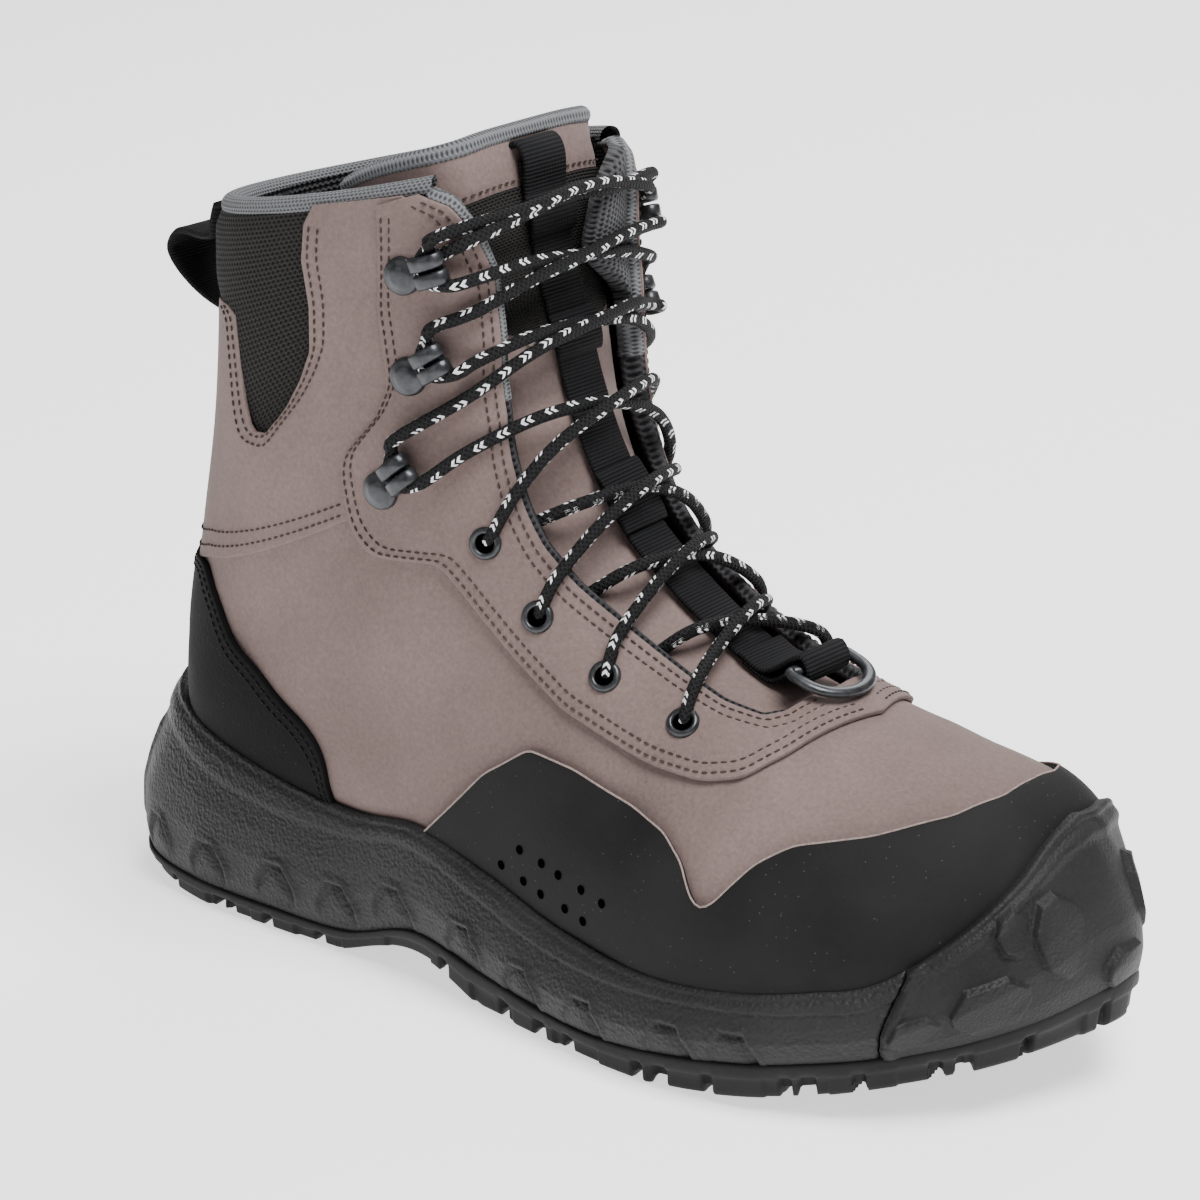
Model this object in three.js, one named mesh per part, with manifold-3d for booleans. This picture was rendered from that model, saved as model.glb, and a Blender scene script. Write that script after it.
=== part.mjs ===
// Wading boot, right foot, as a three.js scene graph. Millimetres, toe along +X, inner side +Y, up +Z.
// The upper, its overlays, tongue and insole all come from one last-shaped surface, formPoint(u, a):
// u runs through the sections from the toe (0) to the collar (16), a runs round a section from the
// back or sole (-1) over the outer side, the front or top (0) and the inner side back to +1.
import * as THREE from 'three';
import { mergeVertices } from 'three/addons/utils/BufferGeometryUtils.js';
import Module from 'manifold-3d';

const wasm = await Module();
wasm.setup();
const { lerp, smoothstep, degToRad } = THREE.MathUtils;

// Driving sizes
const LENGTH = 300;
const BALL_WIDTH = 115;
const HEEL_WIDTH = 81;
const SHAFT_WIDTH = 84;
const HEEL_HEIGHT = 27;
const INSTEP_HEIGHT = 110;
const COLLAR_HEIGHT = 204;
const TOE_SPRING = 18;
const HEEL_SPRING = 4;
const ARCH_RISE = 7;
const WALL_LEAN = 9;
const WALL_BELLY = 3;

// Walls, clearances and small parts
const GAP = 0.3;
const VAMP_WALL = 2.4;
const COLLAR_WALL = 6;
const OVERLAY = 1.5;
const SEAT = 0.5;
const MESH_STEP = 1.2;
const TUCK = 6;
const LUG_DEPTH = 4;
const PLATE_BITE = 1;
const LUG_BAND = 15;
const GROOVE_WIDTH = 4;
const HEX_WIDTH = 19;
const HEX_PITCH = 23;
const STUD_BORE = 7;
const BUMPER_WALL = 4;
const INSOLE_THICKNESS = 4;
const TONGUE_THICKNESS = 4;
const TONGUE_CLEARANCE = 1.4;
const STRAP_WIDTH = 15;
const STRAP_THICKNESS = 1.4;
const LACE_DIAMETER = 4.4;
const LACE_SIDES = 5;
const EYELET_FLANGE = 4.6;
const EYELET_BARREL = 3.2;
const EYELET_HOLE = 2.5;
const EYELET_LIP = 0.9;
const EYELET_SIDES = 6;
const HOOK_LENGTH = 17;
const HOOK_WIDTH = 8;
const HOOK_PLATE = 1.2;
const HOOK_RISE = 5.5;
const HOOK_MOUTH = 0.45;
const RIVET_DIAMETER = 8.4;
const RIVET_HEIGHT = 1.2;
const RING_WIDTH = 26;
const RING_DEPTH = 18;
const RING_WIRE = 3.6;
const RING_FLATNESS = 0.7;
const TAB_WIDTH = 18;
const TAB_THICKNESS = 1.6;
const PULL_WIDTH = 22;
const PULL_THICKNESS = 2.4;
const PULL_REACH = 25;
const PULL_DROP = 24;
const REACH_IN = 8;
const REACH_OUT = 4;

// Levels run from the floor (-1) through the heel's footbed (0) and the instep (1) to the collar (2)
function height(level) {
  if (level < 0) return HEEL_HEIGHT * (1 + level);
  if (level < 1) return lerp(HEEL_HEIGHT, INSTEP_HEIGHT, level);
  return lerp(INSTEP_HEIGHT, COLLAR_HEIGHT, level - 1);
}

function along(share) {
  return (share - 0.5) * LENGTH;
}

// Sections of the last. Columns: topX and baseX as shares of LENGTH from the heel, topLevel and
// baseLevel as levels, topY, baseY, outer and inner (half widths) as shares of the named width,
// widest as a share of the way from top to base, crown and keel as the roundness above and below it.
const FOOT_SECTIONS = [
  // topX, topLevel, baseX, baseLevel, topY, baseY, outer, inner, widest, crown, keel
  [0.955, 0.229, 0.955, 0.036, 0.087, 0.087, 0.078, 0.078, 0.5, 2, 2],
  [0.948, 0.373, 0.948, -0.111, 0.087, 0.087, 0.183, 0.174, 0.58, 2, 2.6],
  [0.932, 0.494, 0.932, -0.185, 0.087, 0.078, 0.27, 0.252, 0.62, 2, 3],
  [0.9, 0.578, 0.9, -0.259, 0.078, 0.061, 0.357, 0.322, 0.66, 2, 3.4],
  [0.85, 0.62, 0.85, -0.333, 0.07, 0.035, 0.43, 0.374, 0.7, 2, 3.6],
  [0.783, 0.667, 0.773, -0.37, 0.052, 0.009, 0.47, 0.409, 0.72, 2, 3.6],
  [0.713, 0.742, 0.683, -0.389, 0.035, -0.009, 0.47, 0.4, 0.72, 2, 3.6],
  [0.65, 0.845, 0.583, -0.333, 0.026, -0.009, 0.435, 0.365, 0.7, 2, 3.4],
  [0.59, 1, 0.46, -0.222, 0.017, 0, 0.4, 0.348, 0.66, 2, 3.2],
];
const HEEL_SECTIONS = [
  [0.543, 1.149, 0.317, -0.074, 0.012, 0, 0.537, 0.494, 0.62, 2.1, 3],
  [0.51, 1.319, 0.167, 0, 0, 0, 0.525, 0.506, 0.56, 2.4, 2.8],
  [0.49, 1.468, 0.073, 0.133, 0, 0, 0.519, 0.506, 0.52, 2.7, 2.5],
  [0.477, 1.596, 0.06, 0.446, 0, 0, 0.512, 0.506, 0.5, 3, 2.3],
];
const SHAFT_SECTIONS = [
  [0.47, 1.713, 0.078, 0.831, 0, 0, 0.488, 0.488, 0.5, 3.2, 2.3],
  [0.463, 1.819, 0.097, 1.191, 0, 0, 0.488, 0.488, 0.5, 3.3, 2.3],
  [0.46, 1.936, 0.107, 1.532, 0, 0, 0.494, 0.494, 0.5, 3.3, 2.3],
  [0.457, 2.074, 0.11, 1.819, 0, 0, 0.5, 0.5, 0.5, 3.3, 2.3],
  // beyond the collar, where only the tongue goes
  [0.452, 2.2, 0.11, 2.05, 0, 0, 0.5, 0.5, 0.5, 3.3, 2.3],
];
const COLLAR_SECTION = 16;

function sized(rows, width) {
  return rows.map(([topX, topLevel, baseX, baseLevel, topY, baseY, outer, inner, ...shape]) => [
    along(topX), height(topLevel), along(baseX), height(baseLevel),
    topY * width, baseY * width, outer * width, inner * width, ...shape,
  ]);
}

const SECTIONS = [
  ...sized(FOOT_SECTIONS, BALL_WIDTH),
  ...sized(HEEL_SECTIONS, HEEL_WIDTH),
  ...sized(SHAFT_SECTIONS, SHAFT_WIDTH),
];

// Catmull-Rom through the rows of a table of numbers, straight on past both ends
function spline(rows, t) {
  const last = rows.length - 1;
  const i = Math.min(Math.max(Math.floor(t), 0), last - 1);
  const f = t - i;
  const b = rows[i];
  const c = rows[i + 1];
  const a = i > 0 ? rows[i - 1] : b.map((value, k) => 2 * value - c[k]);
  const d = i < last - 1 ? rows[i + 2] : c.map((value, k) => 2 * value - b[k]);
  return b.map((value, k) => 0.5 * (2 * value + (c[k] - a[k]) * f
    + (2 * a[k] - 5 * value + 4 * c[k] - d[k]) * f * f
    + (3 * value - a[k] - 3 * c[k] + d[k]) * f * f * f));
}

// A value from a table of [position, value] rows, straight between them
function profile(rows, position) {
  if (position <= rows[0][0]) return rows[0][1];
  for (let i = 1; i < rows.length; i += 1) {
    const [x0, y0] = rows[i - 1];
    const [x1, y1] = rows[i];
    if (position <= x1) return lerp(y0, y1, (position - x0) / (x1 - x0));
  }
  return rows[rows.length - 1][1];
}

// Last surface
const HALF_STEPS = 60;
const halfCurves = new Map();

function halfCurve(u, side) {
  const key = `${u}:${side}`;
  if (halfCurves.has(key)) return halfCurves.get(key);
  const [topX, topZ, baseX, baseZ, topY, baseY, outer, inner, widest, crown, keel] = spline(SECTIONS, u);
  const half = side < 0 ? outer : inner;
  const points = [];
  const lengths = [0];
  for (let i = 0; i <= HALF_STEPS; i += 1) {
    const turn = Math.PI * i / HALF_STEPS;
    const c = Math.abs(Math.cos(turn));
    const s = Math.abs(Math.sin(turn));
    const above = turn < Math.PI / 2;
    const power = 2 / (above ? crown : keel);
    const down = above ? widest * (1 - c ** power) : widest + (1 - widest) * c ** power;
    points.push(new THREE.Vector3(
      lerp(topX, baseX, down), lerp(topY, baseY, down) + side * half * s ** power, lerp(topZ, baseZ, down),
    ));
    if (i > 0) lengths.push(lengths[i - 1] + points[i].distanceTo(points[i - 1]));
  }
  const curve = { points, lengths };
  halfCurves.set(key, curve);
  return curve;
}

function formPoint(u, a) {
  let around = a;
  if (around > 1) around -= 2;
  if (around < -1) around += 2;
  const { points, lengths } = halfCurve(u, around < 0 ? -1 : 1);
  const wanted = Math.abs(around) * lengths[HALF_STEPS];
  let i = 1;
  while (i < HALF_STEPS && lengths[i] < wanted) i += 1;
  const share = (wanted - lengths[i - 1]) / (lengths[i] - lengths[i - 1]);
  return points[i - 1].clone().lerp(points[i], share);
}

function formNormal(u, a) {
  const du = 0.04;
  const da = 0.015;
  const forward = formPoint(u + du, a).sub(formPoint(Math.max(u - du, 0), a));
  const round = formPoint(u, a + da).sub(formPoint(u, a - da));
  return round.cross(forward).normalize();
}

function offsetPoint(u, a, offset) {
  return formPoint(u, a).addScaledVector(formNormal(u, a), offset);
}

function wallAt(u) {
  return lerp(VAMP_WALL, COLLAR_WALL, smoothstep(u, 9, 12.5));
}

// Closed solids from grids of points
function solidFrom(points, triangles) {
  const geometry = new THREE.BufferGeometry();
  geometry.setAttribute('position', new THREE.Float32BufferAttribute(points.flatMap((p) => p.toArray()), 3));
  geometry.setIndex(triangles.flat());
  return solidOf(geometry);
}

function solidOf(geometry) {
  const bare = geometry.clone();
  bare.deleteAttribute('normal');
  bare.deleteAttribute('uv');
  const merged = mergeVertices(bare, 1e-4);
  const position = merged.attributes.position;
  const index = merged.index.array;
  const kept = [];
  let volume = 0;
  const [a, b, c] = [new THREE.Vector3(), new THREE.Vector3(), new THREE.Vector3()];
  for (let i = 0; i < index.length; i += 3) {
    const [p, q, r] = [index[i], index[i + 1], index[i + 2]];
    if (p !== q && q !== r && r !== p) {
      kept.push(p, q, r);
      a.fromBufferAttribute(position, p);
      b.fromBufferAttribute(position, q);
      c.fromBufferAttribute(position, r);
      volume += a.dot(b.cross(c));
    }
  }
  if (volume < 0) kept.reverse();
  return new wasm.Manifold(new wasm.Mesh({
    numProp: 3,
    vertProperties: new Float32Array(position.array),
    triVerts: new Uint32Array(kept),
  }));
}

function geometryOf(solid) {
  const mesh = solid.getMesh();
  const geometry = new THREE.BufferGeometry();
  geometry.setAttribute('position', new THREE.Float32BufferAttribute(mesh.vertProperties, 3));
  geometry.setIndex(new THREE.Uint32BufferAttribute(mesh.triVerts, 1));
  const flat = geometry.toNonIndexed();
  flat.computeVertexNormals();
  return flat;
}

// Closed rings, one after another, with a fan over the first and the last
function ringSolid(rings) {
  const count = rings[0].length;
  const points = rings.flat();
  const triangles = [];
  for (let i = 0; i + 1 < rings.length; i += 1) {
    for (let j = 0; j < count; j += 1) {
      const next = (j + 1) % count;
      const [a, b] = [i * count + j, i * count + next];
      triangles.push([a, b, a + count], [b, b + count, a + count]);
    }
  }
  for (const [ring, flip] of [[0, true], [rings.length - 1, false]]) {
    const centre = new THREE.Vector3();
    rings[ring].forEach((p) => centre.addScaledVector(p, 1 / count));
    points.push(centre);
    for (let j = 0; j < count; j += 1) {
      const [a, b] = [ring * count + j, ring * count + (j + 1) % count];
      triangles.push(flip ? [b, a, points.length - 1] : [a, b, points.length - 1]);
    }
  }
  return solidFrom(points, triangles);
}

// The slab between two grids of the same size, point over point
function slabSolid(over, under) {
  const rows = over.length;
  const columns = over[0].length;
  const points = [...over.flat(), ...under.flat()];
  const shift = rows * columns;
  const at = (i, j) => i * columns + j;
  const triangles = [];
  const quad = (a, b, c, d) => triangles.push([a, b, c], [a, c, d]);
  for (let i = 0; i + 1 < rows; i += 1) {
    for (let j = 0; j + 1 < columns; j += 1) {
      quad(at(i, j), at(i, j + 1), at(i + 1, j + 1), at(i + 1, j));
      quad(at(i, j) + shift, at(i + 1, j) + shift, at(i + 1, j + 1) + shift, at(i, j + 1) + shift);
    }
  }
  for (let j = 0; j + 1 < columns; j += 1) {
    quad(at(0, j) + shift, at(0, j + 1) + shift, at(0, j + 1), at(0, j));
    quad(at(rows - 1, j), at(rows - 1, j + 1), at(rows - 1, j + 1) + shift, at(rows - 1, j) + shift);
  }
  for (let i = 0; i + 1 < rows; i += 1) {
    quad(at(i, 0), at(i + 1, 0), at(i + 1, 0) + shift, at(i, 0) + shift);
    const edge = columns - 1;
    quad(at(i, edge) + shift, at(i + 1, edge) + shift, at(i + 1, edge), at(i, edge));
  }
  return solidFrom(points, triangles);
}

function steps(from, to, count) {
  return Array.from({ length: count + 1 }, (_, i) => lerp(from, to, i / count));
}

// The whole last, offset, as a closed solid; raise carries it on above the collar
const FORM_ROWS = [0, 0.5, 1.1, 1.9, 2.9, 4, 5.2, 6.4, 7.6, 8.8, 9.8, 10.7, 11.6, 12.5, 13.6, 14.8, COLLAR_SECTION];
const FORM_COLUMNS = 20;

function form(offsetAt, raise = 0) {
  const around = steps(-1, 1, FORM_COLUMNS).slice(1);
  const rings = FORM_ROWS.map((u) => around.map((a) => offsetPoint(u, a, offsetAt(u))));
  if (raise > 0) rings.push(rings[rings.length - 1].map((p) => p.clone().setZ(p.z + raise)));
  return ringSolid(rings);
}

// The part of the last at the rows given, from a = from(u) to a = to(u), between two offsets
function panel(rows, from, to, low, high, columns) {
  const grid = (offset) => rows.map((u) => columns.map((share) => (
    offsetPoint(u, lerp(from(u), to(u), share), offset)
  )));
  return slabSolid(grid(high), grid(low));
}

// The same on both sides: from near(u) to far(u), where near is 0 the two halves meet and join
function bothSides(rows, near, far, low, high, columns) {
  const half = (side) => panel(rows, (u) => side * near(u), (u) => side * far(u), low, high, columns);
  return half(-1).add(half(1));
}

// Rows at the knots of some edge tables, none closer than a given spacing
function knots(tables, start, end, spacing) {
  const all = tables.flat().map(([u]) => u).filter((u) => u > start && u < end).sort((a, b) => a - b);
  const kept = [start];
  all.forEach((u) => {
    if (u - kept[kept.length - 1] >= spacing && end - u >= spacing) kept.push(u);
  });
  return [...kept, end];
}

// Edges on the last. Rows: section u, share of the way round from the front or top
const THROAT_EDGE = [[5.84, 0], [5.95, 0.12], [6.1, 0.15], [6.6, 0.167], [7.5, 0.172], [8.8, 0.182], [9.4, 0.178],
  [10.4, 0.155], [11.3, 0.142], [12.6, 0.148], [14.2, 0.168], [15.1, 0.2], [15.7, 0.24], [16, 0.29], [16.3, 0.36]];
const EYESTAY_EDGE = [[5.22, 0], [5.38, 0.09], [5.55, 0.19], [5.8, 0.265], [6.2, 0.302], [6.9, 0.326], [8, 0.342],
  [8.8, 0.325], [9.7, 0.302], [10.1, 0.3], [10.8, 0.375], [11.4, 0.398], [12.1, 0.414], [12.4, 0.415],
  [12.62, 0.352], [13.03, 0.33], [14.3, 0.36], [16, 0.362]];
const RAND_EDGE = [[2.86, 0], [2.9, 0.1], [3.3, 0.2], [4.15, 0.29], [4.9, 0.343], [5.2, 0.39], [5.5, 0.473],
  [5.62, 0.488], [5.75, 0.475], [5.98, 0.43], [6.3, 0.402], [6.8, 0.395], [7.55, 0.405], [8.08, 0.427],
  [8.35, 0.51], [8.5, 0.613], [8.62, 0.69], [8.7, 0.73]];
const RAND_BASE = [[0.4, 0.56], [0.9, 0.57], [1.5, 0.58], [2.2, 0.595], [3.35, 0.62], [3.8, 0.625],
  [4.4, 0.64], [5, 0.66], [5.6, 0.69], [6.2, 0.715], [6.8, 0.735], [7.5, 0.745], [8.2, 0.73],
  [8.7, 0.735]];
const COUNTER_EDGE = [[9.1, 0.86], [9.28, 0.785], [9.62, 0.67], [9.9, 0.64], [10.83, 0.638], [11.78, 0.7],
  [12.48, 0.765], [12.75, 0.88], [13.1, 0.945], [13.9, 0.955]];
const WINDOW_FRONT = [[13.58, 0.59], [13.68, 0.555], [13.85, 0.527], [14.15, 0.508], [14.7, 0.51], [15.3, 0.525],
  [15.75, 0.517], [16.3, 0.46]];
const WINDOW_BACK = [[13.58, 0.6], [13.68, 0.62], [13.93, 0.667], [14.38, 0.688], [14.85, 0.705], [15.05, 0.8]];
const firstKnot = (table) => table[0][0];
const lastKnot = (table) => table[table.length - 1][0];

// Sole stations from heel to toe. Columns: x as a share of LENGTH, outer and inner as shares of the
// named width, seam (top of the outsole) and rim (top of the midsole) as levels, lean as a share of WALL_LEAN.
const HEEL_STATIONS = [
  // x, outer, inner, seam, rim, lean
  [0, 0, 0, -0.74, 0.313, 1],
  [0.013, 0.222, 0.21, -0.74, 0.3, 1],
  [0.057, 0.401, 0.395, -0.745, 0.277, 0.9],
  [0.133, 0.496, 0.481, -0.76, 0.229, 0.65],
  [0.227, 0.519, 0.469, -0.775, 0.17, 0.5],
  [0.317, 0.528, 0.426, -0.755, 0.133, 0.35],
  [0.4, 0.553, 0.414, -0.5, 0.169, 0.1],
];
const FORE_STATIONS = [
  [0.483, 0.426, 0.313, -0.61, 0.1, 0.15],
  [0.56, 0.466, 0.357, -0.7, 0.025, 0.3],
  [0.633, 0.5, 0.409, -0.722, -0.03, 0.25],
  [0.707, 0.511, 0.452, -0.65, -0.04, 0.25],
  [0.78, 0.487, 0.47, -0.56, 0.012, 0.25],
  [0.833, 0.443, 0.457, -0.46, 0.048, 0.3],
  [0.88, 0.374, 0.426, -0.37, 0.09, 0.4],
  [0.933, 0.265, 0.348, -0.22, 0.23, 0.8],
  [0.97, 0.13, 0.25, -0.08, 0.37, 1.3],
  [0.988, -0.009, 0.183, 0.01, 0.45, 1.7],
  [0.995, -0.104, 0.104, 0.03, 0.47, 1.8],
];

function rimRow([x, outer, inner, seam, rim, lean], width, side) {
  const across = side < 0 ? -outer * width : inner * width;
  return [along(x), across, height(seam), height(rim), lean * WALL_LEAN];
}

const LAST_STATION = HEEL_STATIONS.length + FORE_STATIONS.length - 1;

function stationRows(side) {
  return [
    ...HEEL_STATIONS.map((row) => rimRow(row, HEEL_WIDTH, side)),
    ...FORE_STATIONS.map((row) => rimRow(row, BALL_WIDTH, side)),
  ];
}

// The rim of the sole as one loop: heel, outer side, toe, inner side and the heel again
const RIM = [...stationRows(-1), ...stationRows(1).slice(1, -1).reverse()];
const RIM_LOOP = [...RIM.slice(-2), ...RIM, ...RIM.slice(0, 3)];

function rimAt(station, side) {
  const place = side < 0 ? station : (RIM.length - station) % RIM.length;
  const here = spline(RIM_LOOP, place + 2);
  const [ahead, behind] = [spline(RIM_LOOP, place + 2.02), spline(RIM_LOOP, place + 1.98)];
  const inward = new THREE.Vector3(behind[1] - ahead[1], ahead[0] - behind[0], 0).normalize();
  const [x, y, seam, rim, lean] = here;
  return { foot: new THREE.Vector3(x, y, 0), seam, rim, lean, inward };
}

// Floor side of the sole: flat under heel and ball, raised at the heel's edge, arch and toe
const HEEL_FLAT_BACK = along(0.14);
const BREAST = along(0.3);
const BALL_BACK = along(0.483);
const BALL_FRONT = along(0.683);

function groundAt(x) {
  const toe = Math.max(0, (x - BALL_FRONT) / (LENGTH / 2 - BALL_FRONT));
  const heel = Math.max(0, (HEEL_FLAT_BACK - x) / (HEEL_FLAT_BACK + LENGTH / 2));
  const arch = Math.min(Math.max((x - BREAST) / (BALL_BACK - BREAST), 0), 1);
  return TOE_SPRING * toe ** 1.6 + HEEL_SPRING * heel ** 1.5 + ARCH_RISE * Math.sin(Math.PI * arch) ** 1.3;
}

// Top of the footbed. Rows: x as a share of LENGTH, level
const FOOTBED = [[0.06, 0.03], [0.2, 0.015], [0.32, 0], [0.45, -0.12], [0.58, -0.25], [0.68, -0.31], [0.78, -0.3],
  [0.85, -0.26], [0.9, -0.19], [0.935, -0.11], [0.96, 0.045]];

function footbedAt(x) {
  return height(profile(FOOTBED, x / LENGTH + 0.5));
}

const SOLE_STEPS = [0, 0.5, 1, 1.6, 2.4, 3.6, 5, 5.7, 6.4, 7.1, 8.2, 9.5, 11, 12.4, 13.6, 14.6, 15.4, 16.1,
  LAST_STATION];

// A solid of the sole's outline; levels(rim) gives each side's heights and insets, bottom first
function soleSolid(levels) {
  const rings = SOLE_STEPS.map((station) => {
    const sides = [-1, 1].map((side) => {
      const rim = rimAt(station, side);
      return levels(rim).map(([z, inset]) => rim.foot.clone().addScaledVector(rim.inward, inset).setZ(z));
    });
    return [...sides[0], ...sides[1].reverse()];
  });
  return ringSolid(rings);
}

function wallLevels({ seam, rim, lean }) {
  return [[0, 0], [0.4, -1], [0.75, -0.55], [1, 0]].map(([share, bulge]) => (
    [lerp(seam, rim, share), lean * share ** 1.5 + WALL_BELLY * bulge * (share < 1 ? 1 : 0)]
  ));
}

// Everything below the footbed, less or more a clearance, as one block
function footbedBlock(raise, floor = -HEEL_HEIGHT) {
  const side = new THREE.Shape();
  side.moveTo(-LENGTH, floor);
  side.lineTo(-LENGTH, footbedAt(-LENGTH) + raise);
  FOOTBED.forEach(([share]) => side.lineTo(along(share), footbedAt(along(share)) + raise));
  side.lineTo(LENGTH, footbedAt(LENGTH) + raise);
  side.lineTo(LENGTH, floor);
  const block = new THREE.ExtrudeGeometry(side, { depth: 2 * BALL_WIDTH, bevelEnabled: false });
  block.rotateX(Math.PI / 2).translate(0, BALL_WIDTH, 0);
  return solidOf(block);
}

function union(solids) {
  return solids.reduce((whole, solid) => whole.add(solid));
}

// A cut between two faceted surfaces can leave crumbs thinner than the gap: the piece is the largest body
function mainBody(solid) {
  return solid.decompose().reduce((best, body) => (body.volume() > best.volume() ? body : best));
}

// Where the overlays lie on the last, as cutters through their skin
function randRegion() {
  const rows = knots([RAND_EDGE, RAND_BASE], firstKnot(RAND_BASE), lastKnot(RAND_EDGE), 0.24);
  const [near, far] = [(u) => profile(RAND_EDGE, u), (u) => profile(RAND_BASE, u)];
  return bothSides(rows, near, far, -REACH_OUT, REACH_OUT, steps(0, 1, 4));
}

function counterRegion() {
  const rows = knots([COUNTER_EDGE], firstKnot(COUNTER_EDGE), lastKnot(COUNTER_EDGE), 0.2);
  const edge = (u) => profile(COUNTER_EDGE, u);
  return panel(rows, edge, (u) => 2 - edge(u), -REACH_OUT, REACH_OUT, steps(0, 1, 8));
}

function eyestayRegion() {
  const rows = knots([THROAT_EDGE, EYESTAY_EDGE], firstKnot(EYESTAY_EDGE), lastKnot(THROAT_EDGE), 0.3);
  return bothSides(rows, throatEdge, (u) => profile(EYESTAY_EDGE, u), -REACH_OUT, REACH_OUT, steps(0, 1, 2));
}

const overlaySkin = form(() => GAP + OVERLAY).subtract(form(() => GAP));

const throatEdge = (u) => (u < firstKnot(THROAT_EDGE) ? 0 : profile(THROAT_EDGE, u));
const throat = panel(
  knots([THROAT_EDGE], firstKnot(THROAT_EDGE), lastKnot(THROAT_EDGE), 0.3),
  (u) => -throatEdge(u), throatEdge, -REACH_IN, REACH_OUT, [0, 0.5, 1],
);

function windowCut() {
  const front = (u) => profile(WINDOW_FRONT, u);
  const back = (u) => profile(WINDOW_BACK, u);
  const turn = lastKnot(WINDOW_BACK);
  const sideRows = knots([WINDOW_FRONT, WINDOW_BACK], firstKnot(WINDOW_FRONT), turn, 0.25);
  const backRows = knots([WINDOW_FRONT], turn - 0.01, lastKnot(WINDOW_FRONT), 0.3);
  const round = panel(backRows, front, (u) => 2 - front(u), -MESH_STEP, REACH_OUT, steps(0, 1, 8));
  return bothSides(sideRows, front, back, -MESH_STEP, REACH_OUT, [0, 0.5, 1]).add(round);
}

// Eyelets and hooks. Rows: section u, share of the way round
const EYELETS = [[6.8, 0.24], [7.83, 0.258], [8.85, 0.255], [9.9, 0.232]];
const HOOKS = [[11.53, 0.333], [13, 0.29], [14.75, 0.312]];

// A frame on the last: x towards the throat, z outward
function placeOn(u, a, offset) {
  const normal = formNormal(u, a);
  const toThroat = formPoint(u, a - Math.sign(a) * 0.03).sub(formPoint(u, a));
  const x = toThroat.addScaledVector(normal, -toThroat.dot(normal)).normalize();
  const y = normal.clone().cross(x);
  const place = new THREE.Matrix4().makeBasis(x, y, normal);
  return place.setPosition(offsetPoint(u, a, offset));
}

function barrelHole(u, a) {
  const radius = EYELET_BARREL + GAP;
  const hole = new THREE.CylinderGeometry(radius, radius, 4 * VAMP_WALL, EYELET_SIDES);
  hole.rotateX(Math.PI / 2);
  return solidOf(hole.applyMatrix4(placeOn(u, a, 0)));
}

const sides = [['outer', -1], ['inner', 1]];
const eyeletHoles = union(sides.flatMap(([, side]) => EYELETS.map(([u, v]) => barrelHole(u, side * v))));

function makeUpper() {
  const cavity = form((u) => -wallAt(u), COLLAR_HEIGHT / 8);
  return form(() => 0).subtract(cavity).subtract(footbedBlock(GAP)).subtract(throat)
    .subtract(windowCut()).subtract(eyeletHoles);
}

function makeEyestay() {
  return overlaySkin.intersect(eyestayRegion()).subtract(eyeletHoles);
}

// Rand and counter run down inside the sole's rim
function makeRand() {
  return overlaySkin.intersect(randRegion()).subtract(footbedBlock(GAP));
}

function makeCounter() {
  const hidden = soleSolid(({ seam, rim }) => [[seam - HEEL_HEIGHT, -WALL_BELLY], [rim - TUCK, -WALL_BELLY]]);
  return overlaySkin.intersect(counterRegion()).subtract(hidden);
}

// Sole
const cup = form(() => 2 * GAP + OVERLAY).subtract(footbedBlock(0));

const BUMPER_FOOT = along(0.873);
const BUMPER_SLANT = 0.2;

function bumperBlock(gap) {
  const side = new THREE.Shape();
  const foot = BUMPER_FOOT + gap;
  side.moveTo(foot - BUMPER_SLANT * HEEL_HEIGHT, -HEEL_HEIGHT);
  side.lineTo(foot + BUMPER_SLANT * COLLAR_HEIGHT, COLLAR_HEIGHT);
  side.lineTo(LENGTH, COLLAR_HEIGHT);
  side.lineTo(LENGTH, -HEEL_HEIGHT);
  const block = new THREE.ExtrudeGeometry(side, { depth: 2 * BALL_WIDTH, bevelEnabled: false });
  block.rotateX(Math.PI / 2).translate(0, BALL_WIDTH, 0);
  return solidOf(block);
}

const soleWall = soleSolid(wallLevels).subtract(cup);

function toeCore(inset, drop) {
  const core = soleSolid(({ seam }) => [[seam - HEEL_HEIGHT, inset], [HEEL_HEIGHT * 2, inset]]);
  return core.intersect(footbedBlock(-drop)).intersect(bumperBlock(-1));
}

function makeMidsole() {
  return soleWall.subtract(bumperBlock(0).subtract(toeCore(BUMPER_WALL + GAP, GAP)));
}

function makeBumper() {
  return soleWall.intersect(bumperBlock(GAP)).subtract(toeCore(BUMPER_WALL, -GAP / 2));
}

// Grooves across the sole's edge. Rows: x as a share of LENGTH, slant in degrees
const GROOVES = [[0.115, -30], [0.2, -12], [0.525, 12], [0.63, 20], [0.735, 30], [0.84, 45]];

function outsoleLevels({ seam, foot }) {
  const low = groundAt(foot.x);
  return [[low, 1.5], [low + 1.5, 0.2], [seam - GAP, -0.8]];
}

function grooveBox([share, slant]) {
  const boxes = [-1, 1].map((side) => {
    const box = new THREE.BoxGeometry(GROOVE_WIDTH, BALL_WIDTH / 2 + 20, 4 * HEEL_HEIGHT);
    box.translate(0, side * (BALL_WIDTH / 4 + 18), 0).rotateZ(-side * degToRad(slant));
    return solidOf(box.translate(along(share), 0, 0));
  });
  return union(boxes);
}

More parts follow.
